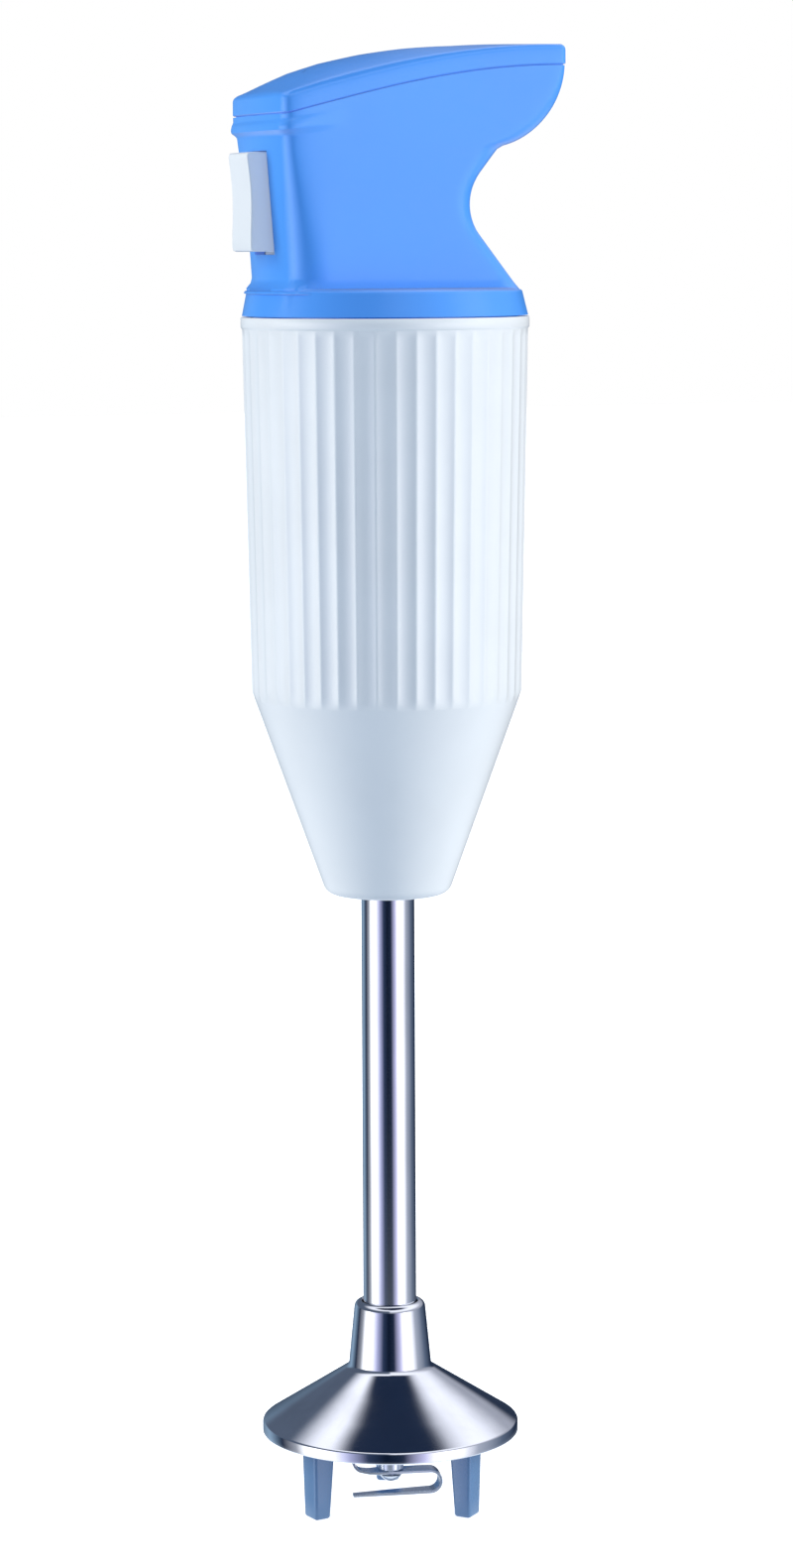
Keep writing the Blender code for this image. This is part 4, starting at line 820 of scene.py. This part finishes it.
def makeBell():
    bore = bell["bore"]
    rimR, rimLow, rimTop = bell["rim"]
    inside = rimR - bell["wall"]
    bossR, bossZ = bell["boss"]
    topR, topZ = bell["collarTop"]
    footR, footZ = bell["collarFoot"]
    profile = [(bore, topZ - 0.2 * mm), (bore + 0.2 * mm, topZ)]
    profile += arc((topR - 1.5 * mm, topZ - 1.5 * mm), 1.5 * mm, 90, 5, 8)
    profile += [(footR - 0.02 * mm, footZ + 0.2 * mm), (footR + 0.03 * mm, footZ),
                (bell["coneTop"][0] - 0.3 * mm, bell["coneTop"][1] + 0.25 * mm),
                (bell["coneTop"][0] + 0.05 * mm, bell["coneTop"][1] - 0.03 * mm)]
    coneTopR, coneTopZ = profile[-1]
    profile += [(coneTopR + (rimR - 0.35 * mm - coneTopR) * s, coneTopZ + (rimTop + 0.2 * mm - coneTopZ) * s)
                for s in (0.33, 0.66, 1.0)]
    profile += [(rimR - 0.12 * mm, rimTop), (rimR, rimTop - 0.3 * mm), (rimR, rimLow + 0.25 * mm),
                (rimR - 0.2 * mm, rimLow), (inside + 0.15 * mm, rimLow), (inside, rimLow + 0.2 * mm),
                (inside, underBell(inside)), (bossR + 0.4 * mm, underBell(bossR + 0.4 * mm)),
                (bossR, underBell(bossR) - 0.5 * mm), (bossR, bossZ + 0.3 * mm), (bossR - 0.3 * mm, bossZ),
                (bore, bossZ)]
    piece = turnPiece("bellGuard", profile, 144, 32.0)
    settle(piece, "bell_guard")


tube = {
    "radius": 6.0 * mm,
    "wall": 0.8 * mm,
    "ends": (37.0 * mm, 156.0 * mm),
    "chamfer": 0.15 * mm,
}


def makeTube():
    r, inner, c = tube["radius"], tube["radius"] - tube["wall"], tube["chamfer"]
    low, high = tube["ends"]
    profile = [(inner, low), (r - c, low), (r, low + c), (r, (low + high) / 2), (r, high - c), (r - c, high),
               (inner, high)]
    settle(turnPiece("shaftTube", profile, 96, 30.0), "shaft_tube")


legs = {
    "angles": (190.0, 310.0, 70.0),
    "footRadii": (17.4 * mm, 21.4 * mm),
    "topRadii": (15.9 * mm, 22.0 * mm),
    "footWidth": 5.2 * mm,
    "topWidth": 6.2 * mm,
    "edge": 0.8 * mm,
    "carrierRadii": (11.0 * mm, 27.4 * mm),
    "carrierThick": 1.8 * mm,
    "carrierDrop": 0.4 * mm,
}


def makeLegs():
    inner, outer = legs["carrierRadii"]
    drop, thick = legs["carrierDrop"], legs["carrierThick"]
    profile = [(inner, underBell(inner) - drop), (outer, underBell(outer) - drop),
               (outer, underBell(outer) - drop - thick), (inner, underBell(inner) - drop - thick)]
    piece = turnPiece("guardLegs", profile, 96, 30.0)
    lowIn, lowOut = legs["footRadii"]
    topIn, topOut = legs["topRadii"]
    topZ = underBell(lowOut) - drop - thick / 2
    for angle in legs["angles"]:
        leg = block("leg", (lowIn, -legs["footWidth"] / 2, 0), (lowOut, legs["footWidth"] / 2, topZ))
        openEdit(leg)
        bpy.ops.mesh.select_all(action='SELECT')
        pick(leg, 'FACE', lambda face: face.normal.z > 0.9)  # the root is wider than the foot
        widen = (topOut - topIn) / (lowOut - lowIn)
        middle = (lowIn + lowOut) / 2
        bpy.ops.transform.resize(value=(widen, legs["topWidth"] / legs["footWidth"], 1),
                                 center_override=(middle, 0, topZ))
        bpy.ops.transform.translate(value=((topIn + topOut) / 2 - middle, 0, 0))
        pick(leg, 'EDGE', lambda edge: abs(edge.verts[0].co.z - edge.verts[1].co.z) > 5 * mm)
        bpy.ops.mesh.bevel(offset=legs["edge"], segments=4, profile=0.5, affect='EDGES')
        pick(leg, 'EDGE', lambda edge: max(co.z for co in ends(edge)) < 0.01 * mm)
        bpy.ops.mesh.bevel(offset=0.6 * mm, segments=4, profile=0.5, affect='EDGES')
        bpy.ops.object.mode_set(mode='OBJECT')
        for height in (0.2, 0.4, 0.6, 0.8):  # rows of edges keep the reflections even
            openEdit(leg)
            bpy.ops.mesh.select_all(action='SELECT')
            bpy.ops.mesh.bisect(plane_co=(0, 0, topZ * height), plane_no=(0, 0, 1))
            bpy.ops.object.mode_set(mode='OBJECT')
        turnAbout(leg, angle)
        combine(piece, leg, 'UNION')
    smooth(piece, 30.0)
    settle(piece, "guard_legs")


# ---- blade and its hub

blade = {
    "turn": -14.0,
    "thick": 0.7 * mm,
    "armZ": 7.5 * mm,
    "lowZ": 2.7 * mm,
    "tipDrop": 0.5 * mm,
    "bendX": 11.7 * mm,
    "leftX": -8.9 * mm,
    "edge": 0.12 * mm,
    "curl": 2.2 * mm,
    "studHole": 1.5 * mm,
}


def makeBlade():
    thick, z, low = blade["thick"], blade["armZ"], blade["lowZ"]
    fold = (z - low) / 2
    right = blade["bendX"] - thick / 2 - fold
    left = blade["leftX"] + thick / 2
    curl = blade["curl"]
    path = [(left, z + 6 * mm, 1.4), (left + 0.01 * mm, z + 4.6 * mm, 1.75),
            (left + 0.02 * mm, z + curl + 0.6 * mm, 2.2)]
    path += [(x, h, 2.4 + 0.4 * i / 10) for i, (x, h) in
             enumerate(arc((left + curl, z + curl + 0.3 * mm), curl, 190, 262, 10))]
    path += [(-5.0 * mm, z + 0.02 * mm, 3.5), (-3.2 * mm, z, 4.3), (0.0, z, 4.3), (right - mm, z, 4.3)]
    path += [(x, h, 4.1) for x, h in arc((right, z - fold), fold, 90, -90, 18)]
    path += [(4.0 * mm, low - blade["tipDrop"] * 0.27, 3.6), (0.0, low - blade["tipDrop"] / 2, 3.0),
             (-8.6 * mm, low - blade["tipDrop"], 1.7)]
    sections = []
    for k, (x, h, width) in enumerate(path):
        before, after = path[max(0, k - 1)], path[min(len(path) - 1, k + 1)]
        along = Vector((after[0] - before[0], 0, after[1] - before[1])).normalized()
        off = Vector((-along.z, 0, along.x)) * thick / 2
        side = Vector((0, width * mm / 2, 0))
        middle = Vector((x, 0, h))
        sections.append([middle + off - side, middle + off + side, middle - off + side, middle - off - side])
    piece = loftPiece("blade", sections, angle=35.0)
    combine(piece, bar("studHole", (0, 0, z - 2 * mm), (0, 0, z + 2 * mm), blade["studHole"], 48),
            'DIFFERENCE')
    turnAbout(piece, blade["turn"])
    roundEdges(piece, blade["edge"], 2, 50.0)
    smooth(piece, 35.0)
    settle(piece, "blade", "blade_unit")


hub = {
    "radius": 2.95 * mm,
    "top": 18.0 * mm,
    "stud": 1.2 * mm,
    "bore": 2.3 * mm,
    "shaftEnd": 8.6 * mm,
    "domeLow": 5.2 * mm,
    "dome": [(0.45, 5.22), (0.9, 5.33), (1.3, 5.51), (1.7, 5.77), (2.05, 6.07), (2.35, 6.4), (2.55, 6.68)],
    "slot": (4 * mm, 1.05 * mm, 15.6 * mm),
}


def makeHub():
    pole = 0.01 * mm
    under = blade["armZ"] - blade["thick"] / 2 - gap
    over = blade["armZ"] + blade["thick"] / 2 + gap
    inside = hub["shaftEnd"] - gap
    profile = [(pole, hub["domeLow"])]
    profile += [(r * mm, z * mm) for r, z in hub["dome"]]
    profile += [(2.6 * mm, under - 0.02 * mm), (2.55 * mm, under), (hub["stud"], under), (hub["stud"], over),
                (hub["radius"] - 0.15 * mm, over), (hub["radius"], over + 0.15 * mm),
                (hub["radius"], 12 * mm), (hub["radius"], hub["top"] - 0.2 * mm),
                (hub["radius"] - 0.2 * mm, hub["top"]),
                (hub["bore"], hub["top"]), (hub["bore"], inside), (pole, inside)]
    piece = turnPiece("bladeHub", profile, 64, 30.0, 0.03)
    length, half, lowZ = hub["slot"]
    slotCut = block("slotCut", (-length, -half, lowZ), (length, half, hub["top"] + 0.4 * mm))
    turnAbout(slotCut, blade["turn"])
    combine(piece, slotCut, 'DIFFERENCE')
    smooth(piece, 30.0)
    settle(piece, "blade_hub", "blade_unit")


# ---- switch button

button = {
    "front": -34.35 * mm,
    "low": 284.1 * mm,
    "high": 306.1 * mm,
    "half": 6.0 * mm,
    "pin": (-25.2 * mm, 303.6 * mm),
    "edge": 1.9 * mm,
    "face": [(0.0, 287.0), (0.03, 289.0), (0.10, 291.0), (0.14, 293.0), (0.14, 295.0), (0.08, 297.0),
             (-0.05, 299.0), (-0.26, 301.0), (-0.52, 303.0), (-0.72, 304.6), (-0.78, 305.2),
             (-0.60, 305.75), (-0.20, 306.05)],
    "back": [(-26.4, 299.4), (-26.4, 291.9), (-24.3, 291.3), (-24.3, 288.7), (-25.0, 288.2),
             (-25.0, 281.9), (-26.4, 281.9), (-26.4, 284.1)],
}


def makeButton():
    front, low, high = button["front"], button["low"], button["high"]
    outline = [(front + 0.9 * mm, low), (front + 0.25 * mm, low + 0.2 * mm), (front, low + 0.9 * mm)]
    outline += [(front + x * mm, z * mm) for x, z in button["face"]]
    outline += [(front + 1.2 * mm, high)]
    outline += arc(button["pin"], 2.3 * mm, 90, -60, 14)
    outline += [(x * mm, z * mm) for x, z in button["back"]]
    near = [(x, -button["half"], z) for x, z in outline]
    far = [(x, button["half"], z) for x, z in outline]
    piece = loftPiece("switchButton", [near, far])
    openEdit(piece)

    def atFront(edge):
        one, other = ends(edge)
        return max(one.x, other.x) < -31.0 * mm and abs(one.y - other.y) < 1e-7
    pick(piece, 'EDGE', atFront)
    bpy.ops.mesh.bevel(offset=button["edge"], segments=8, profile=0.5, affect='EDGES', clamp_overlap=True)
    closeEdit(piece, 40.0)
    pinX, pinZ = button["pin"]
    combine(piece, bar("pinHole", (pinX, -9 * mm, pinZ), (pinX, 9 * mm, pinZ), 1.3 * mm), 'DIFFERENCE')
    smooth(piece, 40.0)
    settle(piece, "switch_button", "button")


# ---- studio

studio = {
    "azimuth": -22.0,
    "distance": 0.944,
    "height": 0.2845,
    "pitch": 2.0,
    "roll": -0.28,
    "lens": 96.4,
    "shift": (0.0071, -0.2475),
    "keyLeft": {"azimuth": -90.0, "elevation": 16.0, "power": 13.0, "size": (0.6, 1.2)},
    "keyRight": {"azimuth": 80.0, "elevation": 14.0, "power": 14.5, "size": (0.6, 1.2)},
    "ambient": (0.45, 0.55, 0.68),
    "warmth": (1.0, 0.94, 0.84),
}


def studioDirection(azimuth, elevation):
    # azimuth is counted from the camera, positive to its right
    a, e = radians(studio["azimuth"] + azimuth), radians(elevation)
    return Vector((sin(a) * cos(e), -cos(a) * cos(e), sin(e)))


def makeCamera():
    data = bpy.data.cameras.new("studioCamera")
    data.lens = studio["lens"]
    data.sensor_width = 36.0
    data.shift_x, data.shift_y = studio["shift"]
    data.clip_start, data.clip_end = 0.05, 30.0
    camera = bpy.data.objects.new("studioCamera", data)
    bpy.context.scene.collection.objects.link(camera)
    back = studioDirection(0.0, 0.0) * studio["distance"]
    camera.location = (back.x, back.y, studio["height"])
    aim = Matrix.Rotation(radians(studio["azimuth"]), 4, 'Z')
    aim = aim @ Matrix.Rotation(radians(90.0 - studio["pitch"]), 4, 'X')
    aim = aim @ Matrix.Rotation(radians(studio["roll"]), 4, 'Z')
    camera.rotation_euler = aim.to_euler()
    bpy.context.scene.camera = camera


def makeLight(name, azimuth, elevation, power, size):
    data = bpy.data.lights.new(name, 'AREA')
    data.shape = 'RECTANGLE'
    data.size, data.size_y = size
    data.energy = power
    data.color = studio["warmth"]
    light = bpy.data.objects.new(name, data)
    bpy.context.scene.collection.objects.link(light)
    away = studioDirection(azimuth, elevation)
    light.location = Vector((0, 0, 0.17)) + away * 1.3
    light.rotation_euler = away.to_track_quat('Z', 'Y').to_euler()
    light.visible_camera = False
    light.visible_glossy = False


def makeWorld():
    # white to the eye, a soft blue fill on matt surfaces, softboxes and dark flags in the gloss
    world = bpy.data.worlds.new("studio")
    world.use_nodes = True
    bpy.context.scene.world = world
    paint = Paint(world.node_tree)
    way = paint.add('ShaderNodeTexCoord', {}, {}, 'Generated')
    front, right = studioDirection(0, 0), studioDirection(90, 0)
    toFront = paint.add('ShaderNodeVectorMath', {'operation': 'DOT_PRODUCT'}, {0: way, 1: front}, 'Value')
    toRight = paint.add('ShaderNodeVectorMath', {'operation': 'DOT_PRODUCT'}, {0: way, 1: right}, 'Value')
    height = paint.add('ShaderNodeSeparateXYZ', {}, {0: way}, 'Z')
    angle = toRight.sum('ARCTAN2', toRight, toFront) * (0.5 / pi) + 0.5
    navy, deep = (0.014, 0.026, 0.060), (0.004, 0.010, 0.028)
    bands = [(-180, (0.03, 0.045, 0.08)), (-138, (0.30, 0.44, 0.60)), (-112, navy),
             (-92, (0.40, 0.42, 0.48)), (-70, (2.6, 2.6, 2.6)), (-52, (1.4, 1.4, 1.7)),
             (-36, (0.50, 0.52, 0.80)), (-20, (0.03, 0.05, 0.11)), (-4, deep), (12, navy),
             (30, (0.68, 0.67, 0.98)), (46, (2.0, 1.98, 2.1)), (66, (1.5, 1.5, 1.6)),
             (84, (0.46, 0.50, 0.60)), (118, (0.12, 0.16, 0.24)), (150, navy), (180, (0.03, 0.045, 0.08))]
    stops = [((place + 180) / 360, colour) for place, colour in bands]
    around = paint.add('ShaderNodeValToRGB', {'stops': stops}, {0: angle})
    side = toRight.fade(-0.06, 0.06)
    reach = height.fade(0.62, 0.86) * (1 - side) + height.fade(0.34, 0.74) * side
    behind = paint.tint(side, (0.10, 0.13, 0.19), (0.42, 0.44, 0.52))
    behind = paint.tint(height.fade(0.86, 0.93), behind, navy)
    cut = height.fade(0.88, 0.96) * (1 - side) + height.fade(0.79, 0.95) * side
    sky = paint.tint(reach * (1 - cut), behind, (1.2, 1.22, 1.32))
    gloss = paint.tint(height.fade(0.10, 0.30), around, sky)
    gloss = paint.tint(1 - height.fade(-0.50, -0.20), gloss, (0.95, 1.05, 1.18))
    rays = paint.add('ShaderNodeLightPath', {}, {}, 'Is Diffuse Ray')
    seen = paint.add('ShaderNodeLightPath', {}, {}, 'Is Camera Ray')
    lit = paint.tint(rays, gloss, studio["ambient"])
    shown = paint.tint(seen, lit, (1.0, 1.0, 1.0))
    world.node_tree.links.new(shown.socket, world.node_tree.nodes['Background'].inputs['Color'])


def makeFloor():
    bpy.ops.object.select_all(action='DESELECT')
    bpy.ops.mesh.primitive_plane_add(size=12.0, location=(0, 0, -0.02 * mm))
    floor = bpy.context.object
    floor.name = "paleFloor"
    paint = Finish("paleFloor", {'Base Color': (0.93, 0.94, 0.95, 1.0), 'Roughness': 0.9,
                                 'Emission Strength': 0.85})
    grain = paint.noise(40.0, 3.0)
    paint.feed('Base Color', paint.tint(grain, (0.92, 0.93, 0.94), (0.95, 0.955, 0.96)))
    paint.feed('Emission Color', paint.tint(grain, (0.98, 0.985, 0.99), (1.0, 1.0, 1.0)))
    floor.data.materials.append(paint.material)
    floor.visible_glossy = False
    floor.visible_diffuse = False


makeCamera()
makeWorld()
makeLight("keyLeft", **studio["keyLeft"])
makeLight("keyRight", **studio["keyRight"])
makeFloor()
print("studio ready")
makeHeadShell()
makeTopCover()
makeInletBush()
makeHousing()
makeBell()
makeTube()
makeLegs()
makeBlade()
makeHub()
makeButton()
bpy.context.scene.view_settings.view_transform = 'Standard'
print("all pieces ready")
